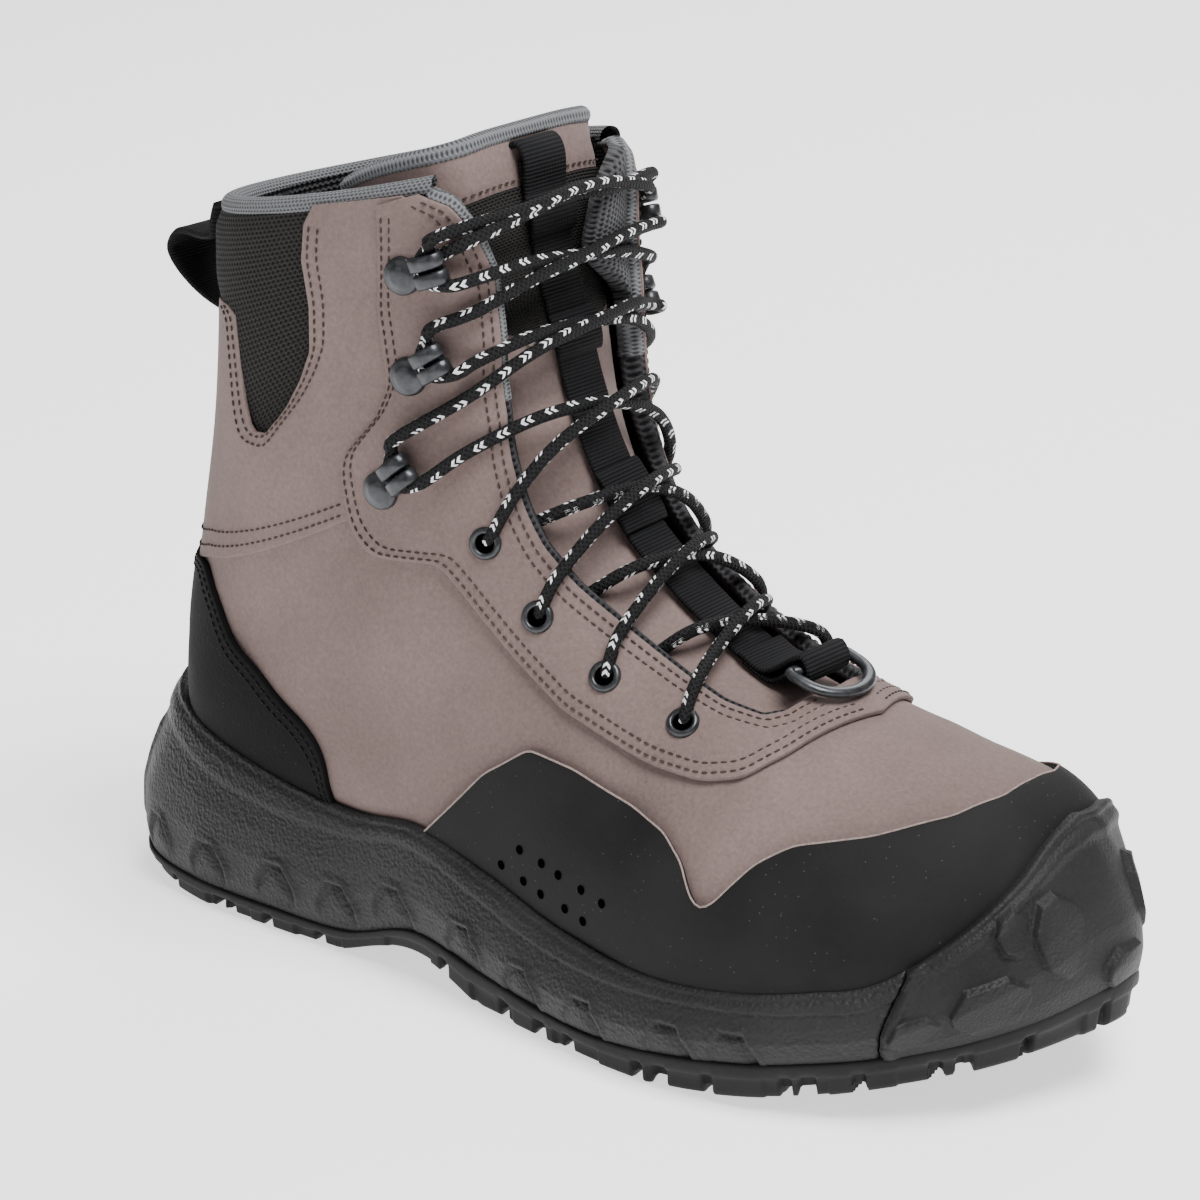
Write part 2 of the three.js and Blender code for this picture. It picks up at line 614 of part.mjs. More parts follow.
// One hexagonal lug, square to the floor side of the sole where it stands
function hexLug(x, y, bored) {
  const slope = Math.atan((groundAt(x + 1) - groundAt(x - 1)) / 2);
  const prism = (radius, depth, sides) => {
    const lug = new THREE.CylinderGeometry(radius, radius, depth, sides);
    lug.rotateX(Math.PI / 2).translate(0, 0, depth / 2 + LUG_DEPTH + PLATE_BITE - depth);
    return solidOf(lug.rotateY(-slope).translate(x, y, groundAt(x)));
  };
  const solid = prism(HEX_WIDTH / Math.sqrt(3), LUG_DEPTH + PLATE_BITE, 6);
  return bored ? solid.subtract(prism(STUD_BORE / 2, LUG_DEPTH * 3, 6)) : solid;
}

// Centre lines of the sole as shares of BALL_WIDTH, so the lug field follows its curve
function midlineAt(share) {
  return BALL_WIDTH * profile([[0, 0], [0.3, -0.02], [0.5, -0.06], [0.7, -0.03], [0.85, 0], [1, 0.08]], share);
}

// Rows of hexagons. Columns: x as a share of LENGTH, how many across, first and last with a stud bore
const HEX_ROWS = [[0.1, 1, 0], [0.168, 2, 0], [0.235, 1, 0], [0.53, 2, 0], [0.597, 3, 1], [0.664, 2, 0],
  [0.731, 3, 1], [0.798, 2, 1], [0.865, 1, 0]];

function lugField() {
  return HEX_ROWS.flatMap(([share, count, bored]) => (
    Array.from({ length: count }, (_, i) => {
      const across = (i - (count - 1) / 2) * HEX_PITCH + midlineAt(share);
      return hexLug(along(share), across, bored === 1 && (i === 0 || i === count - 1));
    })
  ));
}

function makeOutsole() {
  const whole = soleSolid(outsoleLevels);
  const plate = soleSolid((rim) => {
    const [, middle, top] = outsoleLevels(rim);
    const low = groundAt(rim.foot.x) + LUG_DEPTH;
    return [[Math.min(low, top[0] - 1.5), 0.6], [Math.min(low + 0.5, top[0] - 1), middle[1]], top];
  });
  const inside = soleSolid(({ foot }) => [[-HEEL_HEIGHT, LUG_BAND], [HEEL_HEIGHT * 2, LUG_BAND]]);
  const band = whole.subtract(inside).subtract(union(GROOVES.map(grooveBox)));
  const above = new THREE.BoxGeometry(2 * LENGTH, 2 * LENGTH, HEEL_HEIGHT).translate(0, 0, HEEL_HEIGHT / 2);
  const field = union(lugField()).intersect(solidOf(above));
  return union([plate, band, field]);
}

function makeInsole() {
  const foot = form((u) => -wallAt(u) - 2 * GAP);
  return foot.intersect(footbedBlock(INSOLE_THICKNESS + GAP)).subtract(footbedBlock(GAP));
}

// Tongue. Rows: section u, depth of its centre line under the last, half width as a share of the way round
const TONGUE_ROWS = [[5.45, 3.6, 0.2], [6, 3.8, 0.26], [7, 5, 0.3], [8, 6, 0.33], [9, 7.4, 0.33], [10, 7.4, 0.34],
  [11, 7.5, 0.36], [12, 7.5, 0.38], [13, 8.5, 0.4], [14, 9.5, 0.42], [15, 11, 0.44], [16, 13, 0.47],
  [16.75, 14.5, 0.485]];
const TONGUE_START = TONGUE_ROWS[0][0];
const TONGUE_TOP = TONGUE_ROWS[TONGUE_ROWS.length - 1][0];
const TONGUE_COLUMNS = 8;
// Shares of the way round: half the tongue's level crest, and its run on under the throat's edge
const TONGUE_CREST = 0.06;
const TONGUE_OVERLAP = 0.07;
const TONGUE_CORNER_DROP = 0.35;

function tongueDepth(u, a) {
  const [, depth] = spline(TONGUE_ROWS.map(([, ...row]) => [0, ...row]), tongueRow(u));
  const wing = wallAt(u) + TONGUE_CLEARANCE;
  return lerp(Math.max(depth, wing), wing, smoothstep(Math.abs(a), TONGUE_CREST, throatEdge(u) + TONGUE_OVERLAP));
}

function tongueRow(u) {
  const i = Math.max(TONGUE_ROWS.findIndex(([row]) => row >= u), 1);
  return i - 1 + (u - TONGUE_ROWS[i - 1][0]) / (TONGUE_ROWS[i][0] - TONGUE_ROWS[i - 1][0]);
}

function tongueEdge(u) {
  return profile(TONGUE_ROWS.map(([row, , edge]) => [row, edge]), u);
}

function tonguePoint(u, share, lift) {
  const a = share * tongueEdge(u);
  const rounded = u - (u > COLLAR_SECTION ? TONGUE_CORNER_DROP * (u - COLLAR_SECTION) * share ** 2 : 0);
  return offsetPoint(rounded, a, lift - tongueDepth(u, a));
}

function makeTongue() {
  const rows = [...steps(TONGUE_START, 9, 4), ...steps(9.9, TONGUE_TOP, 8)];
  const grid = (lift) => rows.map((u) => steps(-1, 1, TONGUE_COLUMNS).map((share) => tonguePoint(u, share, lift)));
  return slabSolid(grid(0), grid(-TONGUE_THICKNESS));
}

// Webbing down the tongue's centre line
const STRAP_START = 7.1;
const STRAP_END = TONGUE_TOP - 0.25;

function strapPoint(u, across, lift) {
  const centre = tonguePoint(u, 0, lift);
  return centre.setY(centre.y + across);
}

function makeTongueStrap() {
  const rows = steps(STRAP_START, STRAP_END, 12);
  const across = [-STRAP_WIDTH / 2, STRAP_WIDTH / 2];
  const grid = (lift) => rows.map((u) => across.map((y) => strapPoint(u, y, lift + SEAT)));
  return slabSolid(grid(STRAP_THICKNESS), grid(0));
}

// Hardware
function makeEyelet(u, a) {
  const top = OVERLAY + 4 * GAP;
  const outline = [
    [EYELET_HOLE, -VAMP_WALL / 2], [EYELET_BARREL, -VAMP_WALL / 2], [EYELET_BARREL, top],
    [EYELET_FLANGE, top], [EYELET_HOLE, top + EYELET_LIP], [EYELET_HOLE, -VAMP_WALL / 2],
  ];
  const ring = new THREE.LatheGeometry(outline.map(([r, z]) => new THREE.Vector2(r, z)), EYELET_SIDES);
  return solidOf(ring.rotateX(Math.PI / 2).applyMatrix4(placeOn(u, a, 0)));
}

// A speed hook: plate on the eyestay, its front turned up and back over the lace, riveted down
function makeHook(u, a) {
  const curl = new THREE.Shape();
  const reach = HOOK_LENGTH - RIVET_DIAMETER / 2;
  curl.moveTo(-RIVET_DIAMETER / 2, 0);
  curl.lineTo(reach - HOOK_PLATE, 0);
  curl.lineTo(reach, HOOK_PLATE);
  curl.lineTo(reach, HOOK_RISE - HOOK_PLATE);
  curl.lineTo(reach - HOOK_PLATE, HOOK_RISE);
  curl.lineTo(reach * HOOK_MOUTH, HOOK_RISE);
  curl.lineTo(reach * HOOK_MOUTH, HOOK_RISE - HOOK_PLATE);
  curl.lineTo(reach - HOOK_PLATE, HOOK_RISE - HOOK_PLATE);
  curl.lineTo(reach - HOOK_PLATE, HOOK_PLATE);
  curl.lineTo(-RIVET_DIAMETER / 2, HOOK_PLATE);
  const plate = new THREE.ExtrudeGeometry(curl, { depth: HOOK_WIDTH, bevelEnabled: false });
  plate.rotateX(Math.PI / 2).translate(0, HOOK_WIDTH / 2, 0);
  const rivet = new THREE.CylinderGeometry(RIVET_DIAMETER / 2, RIVET_DIAMETER / 2, HOOK_PLATE + RIVET_HEIGHT, 6);
  rivet.rotateX(Math.PI / 2).translate(0, 0, (HOOK_PLATE + RIVET_HEIGHT) / 2);
  const seat = placeOn(u, a, OVERLAY + 3 * GAP);
  return solidOf(plate).add(solidOf(rivet)).transform(seat.elements);
}

// Lace bars across the throat between two rows of eyelets or hooks. Columns: lower u, upper u
const LACE_SPAN = 0.19;
const LACE_STEP = 0.21;

// How far a lace's middle stands off the last: at its ends low and high up, over the edges, over the tongue
const LACE_SEAT_LOW = 4.7;
const LACE_SEAT_HIGH = 4;
const LACE_OVER_EDGE = 6.1;
const LACE_OVER_TONGUE = 1.8;

function laceBar(fromU, toU) {
  const seat = lerp(LACE_SEAT_LOW, LACE_SEAT_HIGH, smoothstep(fromU, 7, 11));
  const offsets = [seat, LACE_OVER_EDGE, LACE_OVER_TONGUE, LACE_OVER_EDGE, seat];
  const points = steps(-LACE_SPAN, LACE_SPAN, 4).map((a, i) => (
    offsetPoint(lerp(fromU, toU, i / 4), a, offsets[i])
  ));
  const route = new THREE.CatmullRomCurve3(points);
  const corners = steps(0, 2 * Math.PI, LACE_SIDES).slice(1).map((turn) => (
    new THREE.Vector2(Math.cos(turn), Math.sin(turn)).multiplyScalar(LACE_DIAMETER / 2)
  ));
  return solidOf(new THREE.ExtrudeGeometry(new THREE.Shape(corners), { steps: 4, extrudePath: route }));
}

function laceCrossing(lower, upper) {
  const [from, to] = [lower + LACE_STEP, upper - LACE_STEP];
  return laceBar(from, to).add(laceBar(to, from));
}

// D-ring at the base of the throat, in its own frame: bar along Y at the origin, loop towards +X
function ringShape(grow) {
  const half = RING_WIDTH / 2 + grow;
  const depth = RING_DEPTH - RING_WIRE / 2 + grow;
  const straight = depth - half * 0.8;
  const shape = new THREE.Shape();
  shape.moveTo(-RING_WIRE / 2 - grow, -half);
  shape.lineTo(straight, -half);
  shape.absellipse(straight, 0, depth - straight, half, -Math.PI / 2, Math.PI / 2);
  shape.lineTo(-RING_WIRE / 2 - grow, half);
  return new THREE.Shape(shape.getPoints(5));
}

function makeRing() {
  const ring = ringShape(0);
  ring.holes.push(ringShape(-RING_WIRE));
  const geometry = new THREE.ExtrudeGeometry(ring, { depth: RING_WIRE * RING_FLATNESS, bevelEnabled: false });
  return solidOf(geometry.translate(0, 0, -RING_WIRE * RING_FLATNESS / 2));
}

// The ring lies down the front of the eyestay from its bar, which the webbing tab holds over the tongue
const RING_BAR = 6.2;
const RING_FOOT = 5.4;
const RING_LIFT = OVERLAY + 4 * GAP + RING_WIRE * RING_FLATNESS / 2;
const ringBar = offsetPoint(RING_BAR, 0, RING_LIFT);
const ringSlope = offsetPoint(RING_FOOT, 0, RING_LIFT).sub(ringBar).setY(0).normalize();

function seatRing(solid) {
  const side = new THREE.Vector3(0, 1, 0);
  const place = new THREE.Matrix4().makeBasis(ringSlope, side, ringSlope.clone().cross(side));
  return solid.transform(place.setPosition(ringBar).elements);
}

// Webbing tab: round the bar, then back and down onto the tongue
const TAB_TAIL = [6.55, 6.95];

function makeRingTab() {
  const bore = RING_WIRE / 2 + 2 * GAP + 0.4;
  const outer = bore + TAB_THICKNESS;
  const [x, z] = [ringBar.x, ringBar.z];
  const shape = new THREE.Shape();
  const tail = TAB_TAIL.map((u) => [tonguePoint(u, 0, SEAT * 2), tonguePoint(u, 0, SEAT * 2 + TAB_THICKNESS)]);
  shape.moveTo(tail[1][0].x, tail[1][0].z);
  shape.lineTo(tail[0][0].x, tail[0][0].z);
  steps(-115, 75, 7).map(degToRad).forEach((turn) => {
    shape.lineTo(x + outer * Math.cos(turn), z + outer * Math.sin(turn));
  });
  shape.lineTo(tail[0][1].x, tail[0][1].z + TAB_THICKNESS / 2);
  shape.lineTo(tail[1][1].x, tail[1][1].z);
  const hole = steps(0, 360, 8).slice(1).map(degToRad)
    .map((turn) => new THREE.Vector2(x + bore * Math.cos(turn), z + bore * Math.sin(turn)));
  shape.holes.push(new THREE.Path(hole));
  const tab = new THREE.ExtrudeGeometry(shape, { depth: TAB_WIDTH, bevelEnabled: false });
  return solidOf(tab.rotateX(Math.PI / 2).translate(0, ringBar.y + TAB_WIDTH / 2, 0));
}

// Pull loop on the back of the shaft. Rows: outline as shares of PULL_REACH back and PULL_DROP down
const PULL_OUTLINE = [[0, 0], [0.8, 0.1], [1, 0.29], [0.96, 0.45], [0.69, 0.7], [0.38, 0.87], [0, 1]];
const PULL_TOP = 15.62;
const PULL_FOOT = 14.7;

function makePullLoop() {
  const [top, foot] = [formPoint(PULL_TOP, 1), formPoint(PULL_FOOT, 1)];
  const outline = PULL_OUTLINE.map(([back, down]) => (
    new THREE.Vector2(Math.min(top.x, foot.x) - GAP - PULL_REACH * back, top.z - PULL_DROP * down)
  ));
  const centre = outline.reduce((sum, point) => sum.add(point), new THREE.Vector2()).divideScalar(outline.length);
  const shape = new THREE.Shape(outline);
  shape.holes.push(new THREE.Path(outline.map((point) => {
    const inward = centre.clone().sub(point);
    return point.clone().addScaledVector(inward, PULL_THICKNESS * 1.25 / inward.length());
  })));
  const loop = new THREE.ExtrudeGeometry(shape, { depth: PULL_WIDTH, bevelEnabled: false });
  return solidOf(loop.rotateX(Math.PI / 2).translate(0, PULL_WIDTH / 2, 0));
}

function nubuck(colour) {
  return new THREE.MeshStandardMaterial({ color: colour, roughness: 0.9, metalness: 0 });
}

const MATERIALS = {
  nubuck: nubuck(0x968580),
  rubber: new THREE.MeshStandardMaterial({ color: 0x2c2c2d, roughness: 0.7, metalness: 0 }),
  foam: new THREE.MeshStandardMaterial({ color: 0x484849, roughness: 0.85, metalness: 0 }),
  tread: new THREE.MeshStandardMaterial({ color: 0x262627, roughness: 0.8, metalness: 0 }),
  webbing: new THREE.MeshStandardMaterial({ color: 0x141415, roughness: 0.9, metalness: 0 }),
  lace: new THREE.MeshStandardMaterial({ color: 0x101011, roughness: 0.8, metalness: 0 }),
  gunmetal: new THREE.MeshStandardMaterial({ color: 0x4b4e52, roughness: 0.4, metalness: 0.8 }),
  lining: new THREE.MeshStandardMaterial({ color: 0x5a5a5c, roughness: 0.95, metalness: 0 }),
};

const boot = new THREE.Group();

function addPiece(name, solid, material) {
  const mesh = new THREE.Mesh(geometryOf(mainBody(solid)), MATERIALS[material]);
  mesh.name = name;
  boot.add(mesh);
  return mesh;
}

addPiece('outsole', makeOutsole(), 'tread');
addPiece('midsole', makeMidsole(), 'foam');
addPiece('toe_bumper', makeBumper(), 'rubber');
addPiece('insole', makeInsole(), 'lining');
addPiece('upper', makeUpper(), 'nubuck');
addPiece('toe_rand', makeRand(), 'rubber');
addPiece('heel_counter', makeCounter(), 'rubber');
addPiece('eyestay', makeEyestay(), 'nubuck');
addPiece('tongue', makeTongue(), 'nubuck');
addPiece('tongue_strap', makeTongueStrap(), 'webbing');
addPiece('ring_tab', makeRingTab(), 'webbing');
addPiece('d_ring', seatRing(makeRing()), 'gunmetal');
addPiece('pull_loop', makePullLoop(), 'webbing');

sides.forEach(([name, side]) => {
  EYELETS.forEach(([u, v], i) => addPiece(`eyelet_${name}_${i + 1}`, makeEyelet(u, side * v), 'gunmetal'));
  HOOKS.forEach(([u, v], i) => addPiece(`hook_${name}_${i + 1}`, makeHook(u, side * v), 'gunmetal'));
});

const LACE_ROWS = [...EYELETS, ...HOOKS].map(([u]) => u);
LACE_ROWS.slice(1).forEach((upper, i) => {
  addPiece(`lace_crossing_${i + 1}`, laceCrossing(LACE_ROWS[i], upper), 'lace');
});

// The origin is on the floor, under the middle of the whole boot
const box = new THREE.Box3().setFromObject(boot);
const middle = box.getCenter(new THREE.Vector3());
boot.position.set(-middle.x, -middle.y, -box.min.z);

export default boot;
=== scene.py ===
import math

import bmesh
import bpy
import numpy as np
from mathutils import Matrix, Vector


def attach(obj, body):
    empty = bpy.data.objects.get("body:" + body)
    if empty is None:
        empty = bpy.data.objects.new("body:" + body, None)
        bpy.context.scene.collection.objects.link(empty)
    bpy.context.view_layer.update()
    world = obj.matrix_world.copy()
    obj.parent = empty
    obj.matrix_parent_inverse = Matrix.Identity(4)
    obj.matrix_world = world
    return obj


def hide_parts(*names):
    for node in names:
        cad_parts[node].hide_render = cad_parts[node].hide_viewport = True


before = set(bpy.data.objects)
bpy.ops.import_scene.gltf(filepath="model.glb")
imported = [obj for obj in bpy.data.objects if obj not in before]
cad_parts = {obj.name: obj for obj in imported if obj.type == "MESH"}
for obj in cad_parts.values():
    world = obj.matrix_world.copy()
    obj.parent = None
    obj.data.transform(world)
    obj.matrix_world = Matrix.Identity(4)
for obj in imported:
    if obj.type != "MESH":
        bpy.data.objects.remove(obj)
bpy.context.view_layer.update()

# Sizes in millimetres, those of the solids
MM = 0.001
LENGTH = 300.0
BALL_WIDTH = 115.0
HEEL_WIDTH = 81.0
SHAFT_WIDTH = 84.0
HEEL_HEIGHT = 27.0
INSTEP_HEIGHT = 110.0
COLLAR_HEIGHT = 204.0
TOE_SPRING = 18.0
HEEL_SPRING = 4.0
ARCH_RISE = 7.0
WALL_BELLY = 3.0
VAMP_WALL = 2.4
COLLAR_WALL = 6.0
TONGUE_THICKNESS = 4.0
TONGUE_CLEARANCE = 1.4
STRAP_WIDTH = 15.0
LUG_DEPTH = 4.0
LUG_BAND = 15.0
LACE_RADIUS = 1.65
SHIFT = np.array([0.75, 2.25085, 0.0])
COLLAR = 16.0

# Sections of the last, from toe to collar, as shares of the sizes above
FOOT_SECTIONS = [
    [0.955, 0.229, 0.955, 0.036, 0.087, 0.087, 0.078, 0.078, 0.5, 2, 2],
    [0.948, 0.373, 0.948, -0.111, 0.087, 0.087, 0.183, 0.174, 0.58, 2, 2.6],
    [0.932, 0.494, 0.932, -0.185, 0.087, 0.078, 0.27, 0.252, 0.62, 2, 3],
    [0.9, 0.578, 0.9, -0.259, 0.078, 0.061, 0.357, 0.322, 0.66, 2, 3.4],
    [0.85, 0.62, 0.85, -0.333, 0.07, 0.035, 0.43, 0.374, 0.7, 2, 3.6],
    [0.783, 0.667, 0.773, -0.37, 0.052, 0.009, 0.47, 0.409, 0.72, 2, 3.6],
    [0.713, 0.742, 0.683, -0.389, 0.035, -0.009, 0.47, 0.4, 0.72, 2, 3.6],
    [0.65, 0.845, 0.583, -0.333, 0.026, -0.009, 0.435, 0.365, 0.7, 2, 3.4],
    [0.59, 1, 0.46, -0.222, 0.017, 0, 0.4, 0.348, 0.66, 2, 3.2],
]
HEEL_SECTIONS = [
    [0.543, 1.149, 0.317, -0.074, 0.012, 0, 0.537, 0.494, 0.62, 2.1, 3],
    [0.51, 1.319, 0.167, 0, 0, 0, 0.525, 0.506, 0.56, 2.4, 2.8],
    [0.49, 1.468, 0.073, 0.133, 0, 0, 0.519, 0.506, 0.52, 2.7, 2.5],
    [0.477, 1.596, 0.06, 0.446, 0, 0, 0.512, 0.506, 0.5, 3, 2.3],
]
SHAFT_SECTIONS = [
    [0.47, 1.713, 0.078, 0.831, 0, 0, 0.488, 0.488, 0.5, 3.2, 2.3],
    [0.463, 1.819, 0.097, 1.191, 0, 0, 0.488, 0.488, 0.5, 3.3, 2.3],
    [0.46, 1.936, 0.107, 1.532, 0, 0, 0.494, 0.494, 0.5, 3.3, 2.3],
    [0.457, 2.074, 0.11, 1.819, 0, 0, 0.5, 0.5, 0.5, 3.3, 2.3],
    [0.452, 2.2, 0.11, 2.05, 0, 0, 0.5, 0.5, 0.5, 3.3, 2.3],
]

# Edges on the last: section, share of the way round from the front
THROAT = [(5.84, 0), (5.95, 0.12), (6.1, 0.15), (6.6, 0.167), (7.5, 0.172), (8.8, 0.182), (9.4, 0.178),
          (10.4, 0.155), (11.3, 0.142), (12.6, 0.148), (14.2, 0.168), (15.1, 0.2), (15.7, 0.24), (16, 0.29)]
EYESTAY = [(5.22, 0), (5.38, 0.09), (5.55, 0.19), (5.8, 0.265), (6.2, 0.302), (6.9, 0.326), (8, 0.342),
           (8.8, 0.325), (9.7, 0.302), (10.1, 0.3), (10.8, 0.375), (11.4, 0.398), (12.1, 0.414),
           (12.4, 0.415), (12.62, 0.352), (13.03, 0.33), (14.3, 0.36), (15.9, 0.362)]
RAND = [(2.86, 0), (2.9, 0.1), (3.3, 0.2), (4.15, 0.29), (4.9, 0.343), (5.2, 0.39), (5.5, 0.473),
        (5.62, 0.488), (5.75, 0.475), (5.98, 0.43), (6.3, 0.402), (6.8, 0.395), (7.55, 0.405), (8.08, 0.427),
        (8.35, 0.51), (8.5, 0.613), (8.62, 0.69), (8.75, 0.76)]
RAND_FOOT = [(0.3, 0), (0.35, 0.3), (0.5, 0.56), (3.35, 0.64), (5, 0.68), (6.2, 0.735), (7.5, 0.765),
             (8.2, 0.76), (8.7, 0.775)]
COUNTER = [(13.95, 1.0), (13.93, 0.958), (13.1, 0.945), (12.75, 0.88), (12.48, 0.765), (11.78, 0.7),
           (10.83, 0.638), (9.9, 0.64), (9.62, 0.67), (9.28, 0.785), (9.0, 0.87)]
COUNTER_SPINE = [(13.9, 1.0), (9.0, 1.0)]
THROAT_FOOT = THROAT[0][0]
WINDOW_SILL = 13.45
STRIP_TOP = 15.05
WINDOW_FRONT = [(13.45, 0.6), (13.5, 0.578), (13.62, 0.553), (13.85, 0.527), (14.15, 0.508), (14.7, 0.51),
                (15.3, 0.525), (15.75, 0.517), (16.05, 0.49)]
WINDOW_BACK = [(13.45, 0.61), (13.5, 0.632), (13.64, 0.65), (13.93, 0.67), (14.38, 0.688), (14.85, 0.705),
               (14.98, 0.74), (15.05, 0.8)]
SHAFT_SEAM = [(0.0, 11.3), (0.408, 11.5), (0.763, 12.5), (1.0, 12.95)]
EYELETS = [(6.8, 0.24), (7.83, 0.258), (8.85, 0.255), (9.9, 0.232)]
HOOKS = [(11.53, 0.333), (13.0, 0.29), (14.75, 0.312)]
TONGUE = np.array([
    [5.45, 3.6, 0.2], [6, 3.8, 0.26], [7, 5, 0.3], [8, 6, 0.33], [9, 7.4, 0.33], [10, 7.4, 0.34],
    [11, 7.5, 0.36], [12, 7.5, 0.38], [13, 8.5, 0.4], [14, 9.5, 0.42], [15, 11, 0.44], [16, 13, 0.47],
    [16.75, 14.5, 0.485]])
DRAIN_HOLES = [(7.73, 0.580), (7.85, 0.628), (7.48, 0.573), (7.60, 0.625), (7.28, 0.570), (7.40, 0.623),
               (7.00, 0.565), (7.12, 0.615), (6.73, 0.562), (6.90, 0.613)]


def height(level):
    """From the floor (-1) over the heel's footbed (0) and the instep (1) to the collar (2)."""
    level = np.asarray(level, float)
    foot = HEEL_HEIGHT + (INSTEP_HEIGHT - HEEL_HEIGHT) * level
    shaft = INSTEP_HEIGHT + (COLLAR_HEIGHT - INSTEP_HEIGHT) * (level - 1)
    return np.where(level < 0, HEEL_HEIGHT * (1 + level), np.where(level < 1, foot, shaft))


def along(share):
    return (np.asarray(share, float) - 0.5) * LENGTH


def smooth(value, low, high):
    t = np.clip((value - low) / (high - low), 0, 1)
    return t * t * (3 - 2 * t)


def mix(a, b, t):
    return a + (b - a) * t


def run_along(points):
    """The length run at each point of a path."""
    return np.concatenate([[0], np.linalg.norm(np.diff(points, axis=0), axis=1).cumsum()])


def sampled(at, run, rows):
    return np.column_stack([np.interp(at, run, column) for column in np.asarray(rows, float).T])


def pattern(x, y):
    """Pattern coordinates in millimetres, kept with the piece as cloth."""
    return np.stack([x, y, np.zeros(len(x))], axis=-1)


def spline(rows, t):
    rows = np.asarray(rows, float)
    t = np.asarray(t, float)
    last = len(rows) - 1
    i = np.clip(np.floor(t).astype(int), 0, last - 1)
    f = (t - i)[..., None]
    padded = np.vstack([2 * rows[0] - rows[1], rows, 2 * rows[-1] - rows[-2]])
    a, b, c, d = padded[i], padded[i + 1], padded[i + 2], padded[i + 3]
    bend = (2 * a - 5 * b + 4 * c - d) * f ** 2 + (3 * b - a - 3 * c + d) * f ** 3
    return 0.5 * (2 * b + (c - a) * f + bend)


def sized(rows, width):
    rows = np.array(rows, float)
    place = [along(rows[:, 0]), height(rows[:, 1]), along(rows[:, 2]), height(rows[:, 3])]
    return np.column_stack(place + [rows[:, 4:8] * width, rows[:, 8:]])


# The last as a fine table of points and normals: u in rows, a from -1 (outer back) to 1 (inner back)
U_STEP = 0.04
HALF = 120
U_END = 17.2


def last_table():
    sections = np.vstack([sized(FOOT_SECTIONS, BALL_WIDTH), sized(HEEL_SECTIONS, HEEL_WIDTH),
                          sized(SHAFT_SECTIONS, SHAFT_WIDTH)])
    levels = np.arange(0, U_END + U_STEP / 2, U_STEP)
    rows = spline(sections, levels)
    top_x, top_z, base_x, base_z, top_y, base_y, outer, inner, widest, crown, keel = (
        rows[:, k][:, None] for k in range(11))
    turn = np.linspace(0, np.pi, 161)[None, :]
    c, s = np.abs(np.cos(turn)), np.abs(np.sin(turn))
    power = 2 / np.where(turn < np.pi / 2, crown, keel)
    down = np.where(turn < np.pi / 2, widest * (1 - c ** power), widest + (1 - widest) * c ** power)
    halves = {}
    for side, half in ((-1, outer), (1, inner)):
        points = np.stack([mix(top_x, base_x, down), mix(top_y, base_y, down) + side * half * s ** power,
                           mix(top_z, base_z, down)], axis=-1)
        lengths = np.linalg.norm(np.diff(points, axis=1), axis=-1).cumsum(axis=1)
        lengths = np.hstack([np.zeros((len(levels), 1)), lengths])
        even = [[np.interp(np.linspace(0, 1, HALF + 1) * line[-1], line, row[:, k]) for k in range(3)]
                for line, row in zip(lengths, points)]
        halves[side] = np.swapaxes(np.array(even), 1, 2)
    table = np.concatenate([halves[-1][:, ::-1], halves[1][:, 1:]], axis=1)
    wrapped = np.concatenate([table[:, -2:-1], table, table[:, 1:2]], axis=1)
    across = wrapped[:, 2:] - wrapped[:, :-2]
    forward = np.gradient(table, axis=0)
    normals = np.cross(across, forward)
    normals /= np.linalg.norm(normals, axis=-1, keepdims=True) + 1e-12
    return table + SHIFT, normals


LAST, NORMALS = last_table()


def table_at(table, u, a):
    a = np.where(a > 1, a - 2, np.where(a < -1, a + 2, a))
    i = np.clip(np.asarray(u) / U_STEP, 0, len(table) - 1.001)
    j = np.clip((a + 1) * HALF, 0, 2 * HALF - 0.001)
    i0, j0 = i.astype(int), j.astype(int)
    fi, fj = (i - i0)[..., None], (j - j0)[..., None]
    near = table[i0, j0] * (1 - fj) + table[i0, j0 + 1] * fj
    far = table[i0 + 1, j0] * (1 - fj) + table[i0 + 1, j0 + 1] * fj
    return near * (1 - fi) + far * fi


def on_last(u, a, lift=0.0):
    """Points of the last, lifted off it, in millimetres."""
    u, a, lift = np.broadcast_arrays(np.asarray(u, float), np.asarray(a, float), np.asarray(lift, float))
    return table_at(LAST, u, a) + lift[..., None] * table_at(NORMALS, u, a)


def normal_at(u, a):
    n = table_at(NORMALS, np.asarray(u, float), np.asarray(a, float))
    return n / np.linalg.norm(n, axis=-1, keepdims=True)


def wall_at(u):
    return mix(VAMP_WALL, COLLAR_WALL, smooth(u, 9, 12.5))


def edge_at(rows, u):
    rows = np.asarray(rows, float)
    return np.interp(u, rows[:, 0], rows[:, 1])


def throat_at(u):
    return np.where(u < THROAT_FOOT, 0.0, edge_at(THROAT, u))


